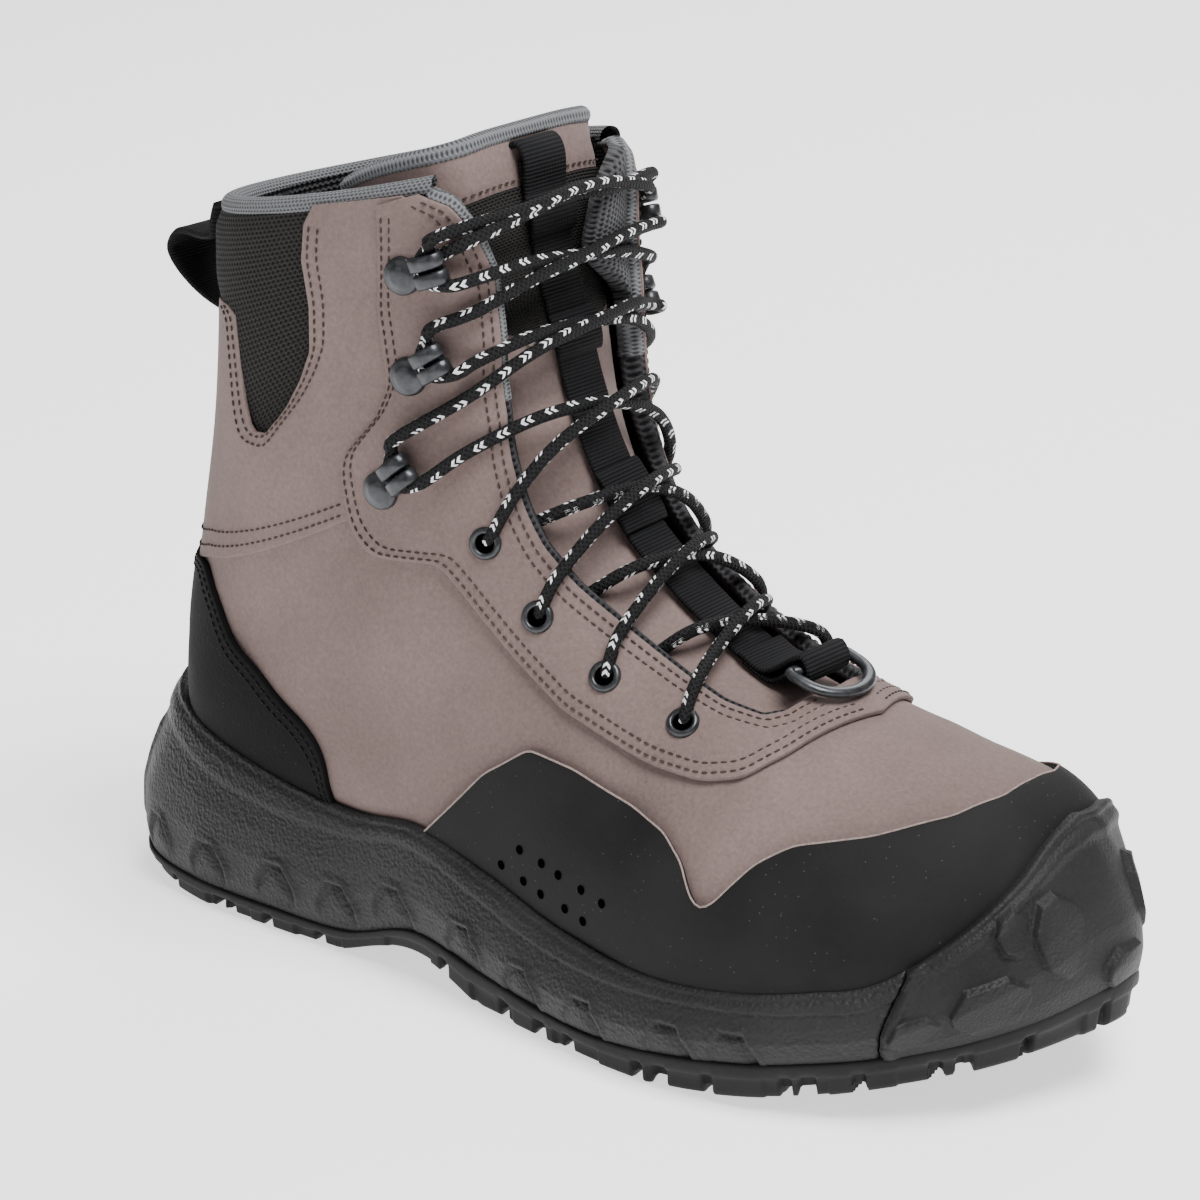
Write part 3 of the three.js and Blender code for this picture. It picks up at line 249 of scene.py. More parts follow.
def rounded(rows, side, radius=2.5, spacing=1.5, count=None):
    """An edge on the last, its corners eased, as evenly spaced rows of u and a."""
    rows = np.asarray(rows, float)
    steps = np.linspace(0, len(rows) - 1, 40 * (len(rows) - 1) + 1)
    dense = sampled(steps, range(len(rows)), rows)
    for passes in range(2):
        points = on_last(dense[:, 0], dense[:, 1] * side)
        run = run_along(points)
        dense = sampled(np.linspace(0, run[-1], max(int(run[-1] / 0.5), 8)), run, dense)
        if passes == 0 and radius > 0:
            reach = int(radius / 0.5)
            kernel = np.hanning(2 * reach + 3)[1:-1]
            before, after = 2 * dense[0] - dense[reach:0:-1], 2 * dense[-1] - dense[-2:-reach - 2:-1]
            padded = np.vstack([before, dense, after])
            soft = [np.convolve(padded[:, k], kernel / kernel.sum(), mode="valid") for k in range(2)]
            dense = np.column_stack(soft)
    points = on_last(dense[:, 0], dense[:, 1] * side)
    run = run_along(points)
    count = count or max(int(run[-1] / spacing), 4) + 1
    return sampled(np.linspace(0, run[-1], count), run, dense)


# Making pieces
def new_bmesh():
    bm = bmesh.new()
    bm.verts.layers.float_vector.new("cloth")
    return bm


def lay(bm, across, length, place, facing):
    """A grid of across by length quads. place(s, t) gives points and pattern coordinates in millimetres."""
    made = bmesh.ops.create_grid(bm, x_segments=across, y_segments=length, size=0.5)["verts"]
    raw = np.array([v.co for v in made])
    low, high = raw.min(axis=0), raw.max(axis=0)
    s = (raw[:, 0] - low[0]) / (high[0] - low[0])
    t = (raw[:, 1] - low[1]) / (high[1] - low[1])
    points, cloth = place(s, t)
    layer = bm.verts.layers.float_vector["cloth"]
    for v, p, c in zip(made, points * MM, cloth):
        v.co = p
        v[layer] = c
    faces = {f for v in made for f in v.link_faces}
    probe = np.array([[0.5, 0.5], [0.52, 0.5], [0.5, 0.52]])
    p = place(probe[:, 0], probe[:, 1])[0]
    if np.dot(np.cross(p[1] - p[0], p[2] - p[0]), facing) < 0:
        bmesh.ops.reverse_faces(bm, faces=list(faces))
    return made


def piece(name, bm, material, body="boot", replaces=(), weld=0.02):
    bmesh.ops.remove_doubles(bm, verts=bm.verts[:], dist=weld * MM)
    mesh = bpy.data.meshes.new(name)
    bm.to_mesh(mesh)
    bm.free()
    mesh.materials.append(material)
    mesh.shade_smooth()
    made = bpy.data.objects.new(name, mesh)
    bpy.context.collection.objects.link(made)
    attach(made, body)
    if replaces:
        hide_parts(*replaces)
    return made


def thicken(made, thickness, rim):
    wall = made.modifiers.new("wall", "SOLIDIFY")
    wall.thickness = thickness * MM
    wall.offset = -1
    if rim > 0:
        edge = made.modifiers.new("rim", "BEVEL")
        edge.width = rim * MM
        edge.segments = 3
        edge.limit_method = "ANGLE"
        edge.angle_limit = math.radians(50)
        edge.use_clamp_overlap = False
    return made


def sheet_on_last(bm, side, edge, base, lift, across=None):
    """A sheet between two rounded edges of one side, lift(u, a, t) off the last."""
    edge_points, base_points = (on_last(rows[:, 0], rows[:, 1] * side) for rows in (edge, base))
    width = np.linalg.norm(edge_points - base_points, axis=1)
    count = len(edge)
    across = across or max(int(width.max() / 2.2), 2)
    run = np.linspace(0, 1, count)

    def place(s, t):
        at = mix(sampled(s, run, edge), sampled(s, run, base), t[:, None])
        points = on_last(at[:, 0], at[:, 1] * side, lift(at[:, 0], at[:, 1], t))
        cloth = np.stack([s * count * 1.5, t * width.max(), np.full(len(s), float(side))], axis=-1)
        return points, cloth

    middle = mix(edge[count // 2], base[count // 2], 0.5)
    return lay(bm, count - 1, across, place, normal_at(middle[0], middle[1] * side))


def framed(origin, x, z):
    """A placing matrix with x and z as near as can be, from millimetres."""
    z = Vector(z).normalized()
    x = Vector(x)
    x = (x - z * x.dot(z)).normalized()
    y = z.cross(x)
    matrix = Matrix((x, y, z)).transposed().to_4x4()
    matrix.translation = Vector(origin) * MM
    return matrix


def seat(u, a, lift):
    """A place on the last: x towards the throat, z outward."""
    side = math.copysign(1, a)
    origin = on_last(u, a, lift)
    towards = on_last(u, a - side * 0.03, lift) - origin
    return framed(origin, towards, normal_at(u, a))


def turned(bm, profile, matrix, steps=20):
    """A ring or knob from a profile of (radius, height) in millimetres, turned about z."""
    verts = [bm.verts.new((r * MM, 0, z * MM)) for r, z in profile]
    edges = [bm.edges.new((verts[i], verts[i + 1])) for i in range(len(verts) - 1)]
    spun = bmesh.ops.spin(bm, geom=verts + edges, cent=(0, 0, 0), axis=(0, 0, 1), angle=2 * math.pi,
                          steps=steps, use_merge=True)
    made = {v for v in verts if v.is_valid}
    made |= {g for g in spun["geom_last"] if isinstance(g, bmesh.types.BMVert) and g.is_valid}
    reached = set(made)
    rest = list(made)
    while rest:
        for edge in rest.pop().link_edges:
            for v in edge.verts:
                if v not in reached:
                    reached.add(v)
                    rest.append(v)
    reached = list(reached)
    bmesh.ops.remove_doubles(bm, verts=reached, dist=0.01 * MM)
    reached = [v for v in reached if v.is_valid]
    faces = list({f for v in reached for f in v.link_faces})
    bmesh.ops.recalc_face_normals(bm, faces=faces)
    bmesh.ops.transform(bm, matrix=matrix, verts=reached)
    return reached


def frames_along(path, up):
    ahead = np.gradient(path, axis=0)
    ahead /= np.linalg.norm(ahead, axis=1, keepdims=True) + 1e-12
    if up is None:
        axis = np.zeros_like(path)
        axis[0] = np.cross(ahead[0], [0.3, 0.2, 0.9])
        axis[0] /= np.linalg.norm(axis[0])
        for i in range(1, len(path)):
            carried = axis[i - 1] - ahead[i] * np.dot(axis[i - 1], ahead[i])
            axis[i] = carried / np.linalg.norm(carried)
        return ahead, axis, np.cross(ahead, axis)
    side = np.cross(ahead, up)
    side /= np.linalg.norm(side, axis=1, keepdims=True) + 1e-12
    return ahead, side, np.cross(side, ahead)


def close_up(bm, verts):
    """Joins a piece's seams, caps its open ends and turns its faces outwards."""
    bmesh.ops.remove_doubles(bm, verts=verts, dist=0.005 * MM)
    left = [v for v in verts if v.is_valid]
    ends = list({e for v in left for e in v.link_edges if e.is_boundary})
    bmesh.ops.holes_fill(bm, edges=ends, sides=0)
    bmesh.ops.recalc_face_normals(bm, faces=list({f for v in left for f in v.link_faces}))
    return left


def swept(bm, path, section, up=None, closed=False, sizes=None):
    """A closed section (side, up) swept along a path, in millimetres; the pattern follows the run."""
    path, section = np.asarray(path, float), np.asarray(section, float)
    if closed:
        path = np.vstack([path, path[:1]])
    ahead, side, rise = frames_along(path, up)
    if closed:
        for axis in (side, rise):
            axis[0] = axis[0] + axis[-1]
            axis[0] /= np.linalg.norm(axis[0])
            axis[-1] = axis[0]
    sizes = np.ones((len(path), 2)) if sizes is None else np.asarray(sizes, float)
    run = run_along(path)
    ring = np.vstack([section, section[:1]])
    around = run_along(ring)

    def place(s, t):
        i = np.rint(s * (len(path) - 1)).astype(int)
        j = np.rint(t * (len(ring) - 1)).astype(int)
        offset = ring[j] * sizes[i]
        points = path[i] + side[i] * offset[:, :1] + rise[i] * offset[:, 1:]
        return points, pattern(run[i], around[j])

    return close_up(bm, lay(bm, len(path) - 1, len(ring) - 1, place, (0, 0, 1)))


def circle(radius, sides, flat=1.0):
    turn = np.linspace(0, 2 * np.pi, sides, endpoint=False)
    return np.column_stack([np.cos(turn), np.sin(turn) * flat]) * radius


def strip(width, thickness):
    """A flat webbing's section, its edges eased."""
    w, t, r = width / 2, thickness / 2, thickness * 0.35
    return np.array([(w, -t + r), (w, t - r), (w - r, t), (0, t), (-w + r, t), (-w, t - r), (-w, -t + r),
                     (-w + r, -t), (0, -t), (w - r, -t)])


def through(points, spacing=1.0):
    """A smooth run through points, in even steps."""
    points = np.asarray(points, float)
    dense = spline(points, np.linspace(0, len(points) - 1, 40 * (len(points) - 1) + 1))
    run = run_along(dense)
    return sampled(np.linspace(0, run[-1], max(int(run[-1] / spacing), 3) + 1), run, dense)


STITCH_PITCH = 2.4
STITCH_LENGTH = 1.8


def stitch_row(bm, path, normals, width=0.62, rise=0.12):
    """Stitches laid end to end along a path on a surface."""
    path = np.asarray(path, float)
    run = run_along(path)
    starts = np.arange(STITCH_PITCH / 2, run[-1] - STITCH_PITCH / 2, STITCH_PITCH)
    places = sampled(starts, run, path)
    for at, onward, n in zip(places, sampled(starts + 1, run, path), sampled(starts, run, normals)):
        ahead = onward - at
        matrix = framed(at + n * rise, ahead, n)
        size = Matrix.Diagonal((STITCH_LENGTH / 2 * MM, width / 2 * MM, width * 0.42 * MM, 1))
        bmesh.ops.create_uvsphere(bm, u_segments=6, v_segments=4, radius=1, matrix=matrix @ size)


def stitches_on_last(bm, side, edge, base, inset, lift, first=0.0, last=1.0):
    """A row of stitches a set distance inside an edge."""
    low, high = int(first * (len(edge) - 1)), int(last * (len(edge) - 1)) + 1
    rows, ends = edge[low:high], base[low:high]
    a = on_last(rows[:, 0], rows[:, 1] * side)
    b = on_last(ends[:, 0], ends[:, 1] * side)
    share = (inset / np.maximum(np.linalg.norm(a - b, axis=1), inset * 1.01))[:, None]
    at = mix(rows, ends, share)
    stitch_row(bm, on_last(at[:, 0], at[:, 1] * side, lift), normal_at(at[:, 0], at[:, 1] * side))


# Finishes
def add(material, kind, inputs=None, **settings):
    node = material.node_tree.nodes.new(kind)
    for key, value in settings.items():
        setattr(node, key, value)
    for key, value in (inputs or {}).items():
        if isinstance(value, bpy.types.NodeSocket):
            material.node_tree.links.new(value, node.inputs[key])
        else:
            node.inputs[key].default_value = value
    return node


def finish(name, colour, roughness, metallic=0.0, sheen=0.0, coat=0.0, specular=0.5):
    material = bpy.data.materials.new(name)
    material.use_nodes = True
    shader = material.node_tree.nodes["Principled BSDF"]
    shader.inputs["Base Color"].default_value = (*colour, 1)
    shader.inputs["Roughness"].default_value = roughness
    shader.inputs["Metallic"].default_value = metallic
    shader.inputs["Sheen Weight"].default_value = sheen
    shader.inputs["Coat Weight"].default_value = coat
    shader.inputs["Specular IOR Level"].default_value = specular
    return material


def drive(material, socket, value):
    shader = material.node_tree.nodes["Principled BSDF"]
    material.node_tree.links.new(value, shader.inputs[socket])


def where(material, pattern=False):
    if pattern:
        return add(material, "ShaderNodeAttribute", attribute_name="cloth").outputs["Vector"]
    return add(material, "ShaderNodeTexCoord").outputs["Object"]


def noise(material, vector, scale, detail=3.0, rough=0.5):
    inputs = {"Vector": vector, "Scale": scale, "Detail": detail, "Roughness": rough}
    return add(material, "ShaderNodeTexNoise", inputs).outputs["Fac"]


def cells(material, vector, scale, feature="F1"):
    inputs = {"Vector": vector, "Scale": scale}
    return add(material, "ShaderNodeTexVoronoi", inputs, feature=feature).outputs["Distance"]


def waves(material, vector, scale, distortion=0.0, direction="X"):
    inputs = {"Vector": vector, "Scale": scale, "Distortion": distortion}
    return add(material, "ShaderNodeTexWave", inputs, bands_direction=direction).outputs["Fac"]


def sums(material, operation, a, b=0.0):
    node = add(material, "ShaderNodeMath", operation=operation)
    for socket, value in zip(node.inputs, (a, b)):
        if isinstance(value, bpy.types.NodeSocket):
            material.node_tree.links.new(value, socket)
        else:
            socket.default_value = value
    return node.outputs[0]


def shades(material, fac, stops):
    node = add(material, "ShaderNodeValToRGB", {"Fac": fac})
    ramp = node.color_ramp
    while len(ramp.elements) < len(stops):
        ramp.elements.new(0.5)
    for element, (position, colour) in zip(ramp.elements, stops):
        element.position = position
        element.color = (*colour, 1)
    return node.outputs["Color"]


def levels(material, fac, low, high, out_low=0.0, out_high=1.0):
    inputs = {"Value": fac, "From Min": low, "From Max": high, "To Min": out_low, "To Max": out_high}
    return add(material, "ShaderNodeMapRange", inputs).outputs["Result"]


def relief(material, height_fac, depth, below=None):
    """Bump of a real depth in millimetres, one over another."""
    inputs = {"Height": height_fac, "Strength": 1.0, "Distance": depth * MM}
    if below is not None:
        inputs["Normal"] = below
    node = add(material, "ShaderNodeBump", inputs)
    drive(material, "Normal", node.outputs["Normal"])
    return node.outputs["Normal"]


def slanted(material, vector, degrees):
    inputs = {"Vector": vector, "Rotation": (0, 0, math.radians(degrees))}
    return add(material, "ShaderNodeMapping", inputs).outputs["Vector"]


def nubuck():
    m = finish("taupe_nubuck", (0.178, 0.128, 0.118), 0.88, sheen=0.08, specular=0.2)
    vector = where(m)
    cloud = noise(m, vector, 22, 4)
    nap = noise(m, vector, 900, 3, 0.7)
    speck = noise(m, vector, 2600, 2, 0.8)
    tone = sums(m, "ADD", sums(m, "MULTIPLY", cloud, 0.5), sums(m, "MULTIPLY", nap, 0.5))
    drive(m, "Base Color", shades(m, tone, [(0.3, (0.126, 0.09, 0.082)), (0.5, (0.178, 0.128, 0.118)),
                                            (0.7, (0.236, 0.173, 0.16))]))
    drive(m, "Roughness", levels(m, nap, 0.3, 0.7, 0.8, 0.95))
    below = relief(m, nap, 0.12)
    relief(m, speck, 0.05, below)
    return m


def blend(material, fac, first, second):
    """From a colour's socket to a plain colour, by a factor."""
    node = add(material, "ShaderNodeMix", data_type="RGBA")
    material.node_tree.links.new(fac, node.inputs[0])
    material.node_tree.links.new(first, node.inputs[6])
    node.inputs[7].default_value = (*second, 1)
    return node.outputs[2]


def rubber(name, colour, roughness, grain, depth, cloudy=0.3, specks=0.0, specular=0.2):
    m = finish(name, colour, roughness, specular=specular)
    vector = where(m)
    cloud = noise(m, vector, 30, 4)
    low = tuple(c * (1 - cloudy) for c in colour)
    high = tuple(c * (1 + cloudy) + 0.004 for c in colour)
    tone = shades(m, cloud, [(0.35, low), (0.65, high)])
    if specks:
        dust = sums(m, "LESS_THAN", cells(m, vector, 520), specks)
        rare = sums(m, "GREATER_THAN", noise(m, vector, 75, 1), 0.5)
        tone = blend(m, sums(m, "MULTIPLY", dust, rare), tone, (0.06, 0.06, 0.06))
    drive(m, "Base Color", tone)
    fine = cells(m, vector, grain, "SMOOTH_F1")
    drive(m, "Roughness", levels(m, cloud, 0.3, 0.7, roughness - 0.08, roughness + 0.08))
    below = relief(m, fine, depth)
    relief(m, noise(m, vector, grain * 2.2, 2), depth * 0.35, below)
    return m


def knit(name, colour, hole, cell, depth=0.35, sheen=0.1):
    """An open knit: rows of small holes, half a cell apart, in the pattern's millimetres."""
    m = finish(name, colour, 0.9, sheen=sheen, specular=0.15)
    vector = where(m, True)
    one = waves(m, slanted(m, vector, 30), 0.314 / cell)
    two = waves(m, slanted(m, vector, -30), 0.314 / cell)
    three = waves(m, slanted(m, vector, 90), 0.314 / cell)
    open_part = sums(m, "MULTIPLY", sums(m, "ADD", one, two), sums(m, "ADD", three, 0.35))
    fuzz = noise(m, vector, 6, 2)
    tone = sums(m, "ADD", open_part, sums(m, "MULTIPLY", fuzz, 0.35))
    crown = tuple(c * 1.35 for c in colour)
    drive(m, "Base Color", shades(m, tone, [(0.35, hole), (0.75, colour), (1.0, crown)]))
    relief(m, tone, depth)
    return m


def webbing():
    m = finish("black_webbing", (0.008, 0.008, 0.009), 0.8, specular=0.15)
    vector = where(m, True)
    ribs = waves(m, vector, 0.33, 0.4, "X")
    cross = waves(m, vector, 0.5, 0.2, "Y")
    weave = sums(m, "ADD", sums(m, "MULTIPLY", ribs, 0.7), sums(m, "MULTIPLY", cross, 0.3))
    drive(m, "Base Color", shades(m, weave, [(0.2, (0.003, 0.003, 0.004)), (0.8, (0.014, 0.014, 0.015))]))
    relief(m, weave, 0.3)
    return m


def lace_braid():
    m = finish("lace_braid", (0.006, 0.006, 0.007), 0.75, specular=0.2)
    vector = where(m, True)
    one = waves(m, slanted(m, vector, 38), 0.27)
    two = waves(m, slanted(m, vector, -38), 0.27)
    braid = sums(m, "MAXIMUM", one, two)
    split = add(m, "ShaderNodeSeparateXYZ", {"Vector": vector})
    run, around = split.outputs["X"], split.outputs["Y"]
    half = math.pi * LACE_RADIUS
    row = sums(m, "MODULO", sums(m, "ADD", around, sums(m, "MULTIPLY", run, 0.06)), half)
    bent = sums(m, "ABSOLUTE", sums(m, "SUBTRACT", row, half / 2), 0)
    slope = sums(m, "ADD", run, sums(m, "MULTIPLY", bent, 0.9))
    place = sums(m, "ABSOLUTE", sums(m, "SUBTRACT", sums(m, "MODULO", slope, 6.6), 3.3), 0)
    near = sums(m, "LESS_THAN", sums(m, "ABSOLUTE", sums(m, "SUBTRACT", place, 0.85), 0), 0.45)
    broad = sums(m, "LESS_THAN", bent, 1.0)
    dark = shades(m, braid, [(0.45, (0.002, 0.002, 0.0025)), (0.95, (0.01, 0.01, 0.011))])
    drive(m, "Base Color", blend(m, sums(m, "MULTIPLY", near, broad), dark, (0.86, 0.86, 0.87)))
    relief(m, braid, 0.35)
    return m


def gunmetal():
    m = finish("gunmetal", (0.045, 0.047, 0.051), 0.34, metallic=0.7, coat=0.2)
    vector = where(m)
    wear = noise(m, vector, 260, 4, 0.7)
    drive(m, "Base Color", shades(m, wear, [(0.4, (0.03, 0.032, 0.035)), (0.7, (0.065, 0.068, 0.073))]))
    drive(m, "Roughness", levels(m, wear, 0.3, 0.7, 0.3, 0.48))
    relief(m, noise(m, vector, 900, 2), 0.02)
    return m


def plain(name, colour, roughness=0.8, grain=1400, depth=0.05, specular=0.12):
    m = finish(name, colour, roughness, specular=specular)
    vector = where(m)
    fine = noise(m, vector, grain, 2)
    dark, light = (tuple(c * much for c in colour) for much in (0.75, 1.2))
    drive(m, "Base Color", shades(m, fine, [(0.3, dark), (0.7, light)]))
    relief(m, fine, depth)
    return m


TAUPE = nubuck()
RAND_RUBBER = rubber("rand_rubber", (0.009, 0.0085, 0.009), 0.7, 1100, 0.06, 0.2, 0.09, 0.16)
COUNTER_RUBBER = rubber("counter_rubber", (0.0028, 0.0027, 0.0029), 0.72, 900, 0.1, 0.2, 0.07, 0.08)
FOAM = rubber("pebbled_foam", (0.0165, 0.0163, 0.017), 0.52, 1000, 0.42, 0.12)
BUMPER_RUBBER = rubber("bumper_rubber", (0.014, 0.0138, 0.0145), 0.55, 1250, 0.2, 0.12)
TREAD = rubber("tread_rubber", (0.009, 0.0088, 0.0093), 0.64, 700, 0.08, 0.2)
BLACK_MESH = knit("black_mesh", (0.02, 0.019, 0.018), (0.003, 0.003, 0.003), 1.2, 0.3, 0.0)
GREY_LINING = knit("grey_lining", (0.125, 0.128, 0.135), (0.045, 0.046, 0.05), 0.95, 0.25, 0.1)
FLAP_MESH = knit("flap_mesh", (0.05, 0.05, 0.053), (0.008, 0.008, 0.009), 1.25, 0.35, 0.1)
DARK_LINING = knit("dark_lining", (0.035, 0.035, 0.037), (0.008, 0.008, 0.009), 1.6, 0.4, 0.0)
WEBBING = webbing()
LACE = lace_braid()
METAL = gunmetal()
THREAD = plain("brown_thread", (0.055, 0.038, 0.032), 0.7)
DARK_THREAD = plain("dark_thread", (0.004, 0.004, 0.0045), 0.6)
RAW_EDGE = plain("raw_edge", (0.28, 0.22, 0.2), 0.8)
# Flat near-black with no specular: painted shade, standing in for the dark inside of the drain holes and
# eyelets
HOLE_SHADE = plain("hole_painted_shade", (0.0008, 0.0008, 0.0008), 1.0, specular=0.0)
INSOLE_CLOTH = plain("insole_cloth", (0.04, 0.04, 0.043), 0.95, 900, 0.15)

# Camera, floor and light come first
AIM = Vector((-0.002, 0.0, 0.098))
camera_data = bpy.data.cameras.new("camera")
camera_data.lens = 150
camera_data.sensor_width = 36
camera = bpy.data.objects.new("camera", camera_data)
camera.location = (0.75185, -0.93865, 0.5032)
camera.rotation_euler = (AIM - camera.location).to_track_quat("-Z", "Y").to_euler()
bpy.context.collection.objects.link(camera)
bpy.context.scene.camera = camera


def floor_and_light():
    bm = bmesh.new()
    bmesh.ops.create_grid(bm, x_segments=1, y_segments=1, size=6)
    mesh = bpy.data.meshes.new("floor")
    bm.to_mesh(mesh)
    bm.free()
    mesh.materials.append(finish("pale_floor", (0.9, 0.9, 0.9), 0.9, specular=0.1))
    glow = mesh.materials[0].node_tree.nodes["Principled BSDF"].inputs
    glow["Emission Color"].default_value = (1, 1, 1, 1)
    glow["Emission Strength"].default_value = 1.15
    floor = bpy.data.objects.new("floor", mesh)
    bpy.context.collection.objects.link(floor)
    world = bpy.data.worlds.new("studio")
    world.use_nodes = True
    background = world.node_tree.nodes["Background"]
    background.inputs["Color"].default_value = (1, 1, 1, 1)
    background.inputs["Strength"].default_value = 0.22
    bpy.context.scene.world = world
    for name, at, size, power in (("key", (0.75, -0.1, 1.8), 1.0, 62), ("fill", (-0.4, -1.6, 0.8), 0.9, 3),
                                  ("back", (-0.5, 1.3, 1.2), 0.9, 14)):
        data = bpy.data.lights.new(name, "AREA")
        data.size = size
        data.energy = power
        lamp = bpy.data.objects.new(name, data)
        lamp.location = at
        lamp.rotation_euler = (Vector((0, 0, 0.1)) - lamp.location).to_track_quat("-Z", "Y").to_euler()
        bpy.context.collection.objects.link(lamp)


floor_and_light()


# Upper
def creased(u, a):
    """Soft troughs and ridges: rows of u, a, reach in u, reach in a, height in millimetres."""
    rows = [(6.9, 0.36, 0.3, 0.12, -0.5), (7.35, 0.37, 0.25, 0.1, 0.35), (9.4, 0.5, 0.5, 0.1, -0.7),
            (10.2, 0.52, 0.4, 0.12, 0.5), (11.2, 0.6, 0.35, 0.12, -0.6), (4.3, 0.1, 0.35, 0.16, -0.35),
            (4.9, 0.12, 0.25, 0.18, 0.25), (12.0, 0.62, 0.4, 0.1, 0.4)]
    lift = np.zeros_like(u)
    for at_u, at_a, reach_u, reach_a, rise in rows:
        lift += rise * np.exp(-((u - at_u) / reach_u) ** 2 - ((np.abs(a) - at_a) / reach_a) ** 2)
    return lift


def make_upper():
    bm = new_bmesh()
    top = 13.2
    for side in (-1, 1):
        def place(s, t):
            u = mix(0.3, top, t)
            near = np.where(u < THROAT_FOOT, 0, np.minimum(throat_at(u) + 0.025, 0.5))
            a = mix(near, 1, s)
            points = on_last(u, a * side, creased(u, a))
            return points, pattern(a * 180, u * 26)
        lay(bm, 64, 250, place, normal_at(6, 0.5 * side))
    piece("upper_body", bm, TAUPE, replaces=["upper"])


def shaft_columns(s, u, side_front, side_back):
    near = throat_at(u) + 0.03
    a = np.where(s < 0.5, mix(near, side_front, s / 0.5), 0)
    a = np.where((s >= 0.5) & (s < 0.7), mix(side_front, side_back, (s - 0.5) / 0.2), a)
    return np.where(s >= 0.7, mix(side_back, 1, (s - 0.7) / 0.3), a)


def make_shaft_panel():
    bm = new_bmesh()
    rows, columns = 110, 90
    for side in (-1, 1):
        def place(s, t):
            rough = shaft_columns(s, np.full_like(s, WINDOW_SILL), 0.6, 0.61)
            foot = edge_at(SHAFT_SEAM, rough)
            u = np.where(t < 0.35, mix(foot, WINDOW_SILL, t / 0.35), 0)
            u = np.where((t >= 0.35) & (t < 0.7), mix(WINDOW_SILL, STRIP_TOP, (t - 0.35) / 0.35), u)
            u = np.where(t >= 0.7, mix(STRIP_TOP, COLLAR, (t - 0.7) / 0.3), u)
            front, back = edge_at(WINDOW_FRONT, u), edge_at(WINDOW_BACK, u)
            a = shaft_columns(s, u, front, back)
            points = on_last(u, a * side, 0.9 + 0.5 * creased(u, a))
            return points, pattern(s, t)
        made = lay(bm, columns, rows, place, normal_at(13, 0.4 * side))
        layer = bm.verts.layers.float_vector["cloth"]
        holes = []
        for face in {f for v in made for f in v.link_faces}:
            middle = sum((v[layer] for v in face.verts), Vector()) / len(face.verts)
            inside = 0.5 < middle.x < 0.7 and middle.y > 0.35
            if inside or (middle.x > 0.7 and middle.y > 0.7):
                holes.append(face)
        bmesh.ops.delete(bm, geom=holes, context="FACES")
    thicken(piece("shaft_panel", bm, TAUPE), 1.0, 0.3)


def make_ankle_mesh():
    bm = new_bmesh()
    for side in (-1, 1):
        def place(s, t):
            u = mix(13.25, 16.06, t)
            a = mix(edge_at(WINDOW_FRONT, u) - 0.035, 1, s)
            free = smooth(u, 13.6, 14.4) * (1 - smooth(u, 15.7, 16.06))
            back = smooth(a, 0.72, 0.88) * smooth(u, 14.9, 15.35) * (1 - smooth(u, 15.75, 16.06))
            swell = 1.1 * free * smooth(a, 0.5, 0.62) * (1 - 0.6 * smooth(a, 0.7, 0.85)) + 2.2 * back
            points = on_last(u, a * side, swell - 0.5)
            return points, pattern(a * 130, u * 22)
        lay(bm, 60, 60, place, normal_at(15, 0.7 * side))
    piece("ankle_mesh", bm, BLACK_MESH)


def make_lining():
    bm = new_bmesh()
    near = 0.27

    def collar_roll(s, t):
        way = mix(near, 2 - near, s)
        a = np.where(way <= 1, -way, 2 - way)
        turn = mix(math.radians(-25), math.radians(190), t)
        radius = 2.9
        points = on_last(np.full_like(a, COLLAR), a, radius * np.cos(turn) - radius)
        points[:, 2] += radius * np.sin(turn) + 0.2
        points[:, 2] += 0.5 * np.sin(way * 9)
        return points, pattern(way * 130, t * 11)

    lay(bm, 150, 14, collar_roll, (-1, 0, 0.5))
    piece("collar_roll", bm, GREY_LINING)
    bm = new_bmesh()

    for side in (-1, 1):
        def half(s, t):
            u = mix(16.05, 1.0, t)
            a = mix(np.where(u < THROAT_FOOT, 0, throat_at(u) + 0.004), 1, s) * side
            points = on_last(u, a, -wall_at(u) + 0.15)
            return points, pattern(a * 150, u * 24)
        lay(bm, 36, 110, half, -normal_at(12, 0.5 * side))
    piece("inner_lining", bm, DARK_LINING)
    flap, edge, binding = new_bmesh(), new_bmesh(), new_bmesh()

    def padded_flap(s, t):
        u = mix(11.6, 15.95, s)
        corner = np.sqrt(1 - np.clip((u - 15.1) / 0.9, 0, 1) ** 2)
        wide = 3.0 + 14.0 * smooth(u, 12.2, 14.0) * corner
        roll = 1 - np.sqrt(1 - np.clip((t - 0.7) / 0.3, 0, 1) ** 2)
        ends = np.clip(np.abs(s - 0.5) * 20 - 9, 0, 1) ** 2
        points = on_last(u, edge_at(THROAT, u) + 0.012 - wide * t / 130, -1.1 - 4.5 * np.maximum(roll, ends))
        return points, pattern(u * 12.6, wide * t)

    lay(flap, 90, 26, padded_flap, normal_at(14, 0.15))
    for side in (-1, 1):
        u = np.linspace(11.5, 15.98, 70)
        wide = 1.8 + 0.1 * smooth(u, 11.5, 13.5)
        a = (edge_at(THROAT, u) - (wide - 1.6) / 130) * side
        path = on_last(u, a, -2.0 - 0.12 * wide)
        sizes = np.column_stack([wide, 3.4 * np.ones_like(u)])
        sizes[0] = sizes[-1] = (0.3, 0.6)
        swept(edge, path, circle(1, 16), normal_at(u, a), sizes=sizes)
        u = np.linspace(5.95, 11.6, 90)
        a = (edge_at(THROAT, u) - 0.002) * side
        sizes = np.column_stack([1.3 * np.ones_like(u), mix(2.0, 3.4, smooth(u, 9, 11.5))])
        path = on_last(u, a, -mix(0.4, 2.2, smooth(u, 9, 11.5)))
        swept(binding, path, circle(1, 10), normal_at(u, a), sizes=sizes)
    piece("throat_lining", edge, GREY_LINING)
    thicken(piece("throat_flap", flap, FLAP_MESH), 1.2, 0)
    piece("throat_binding", binding, DARK_LINING)


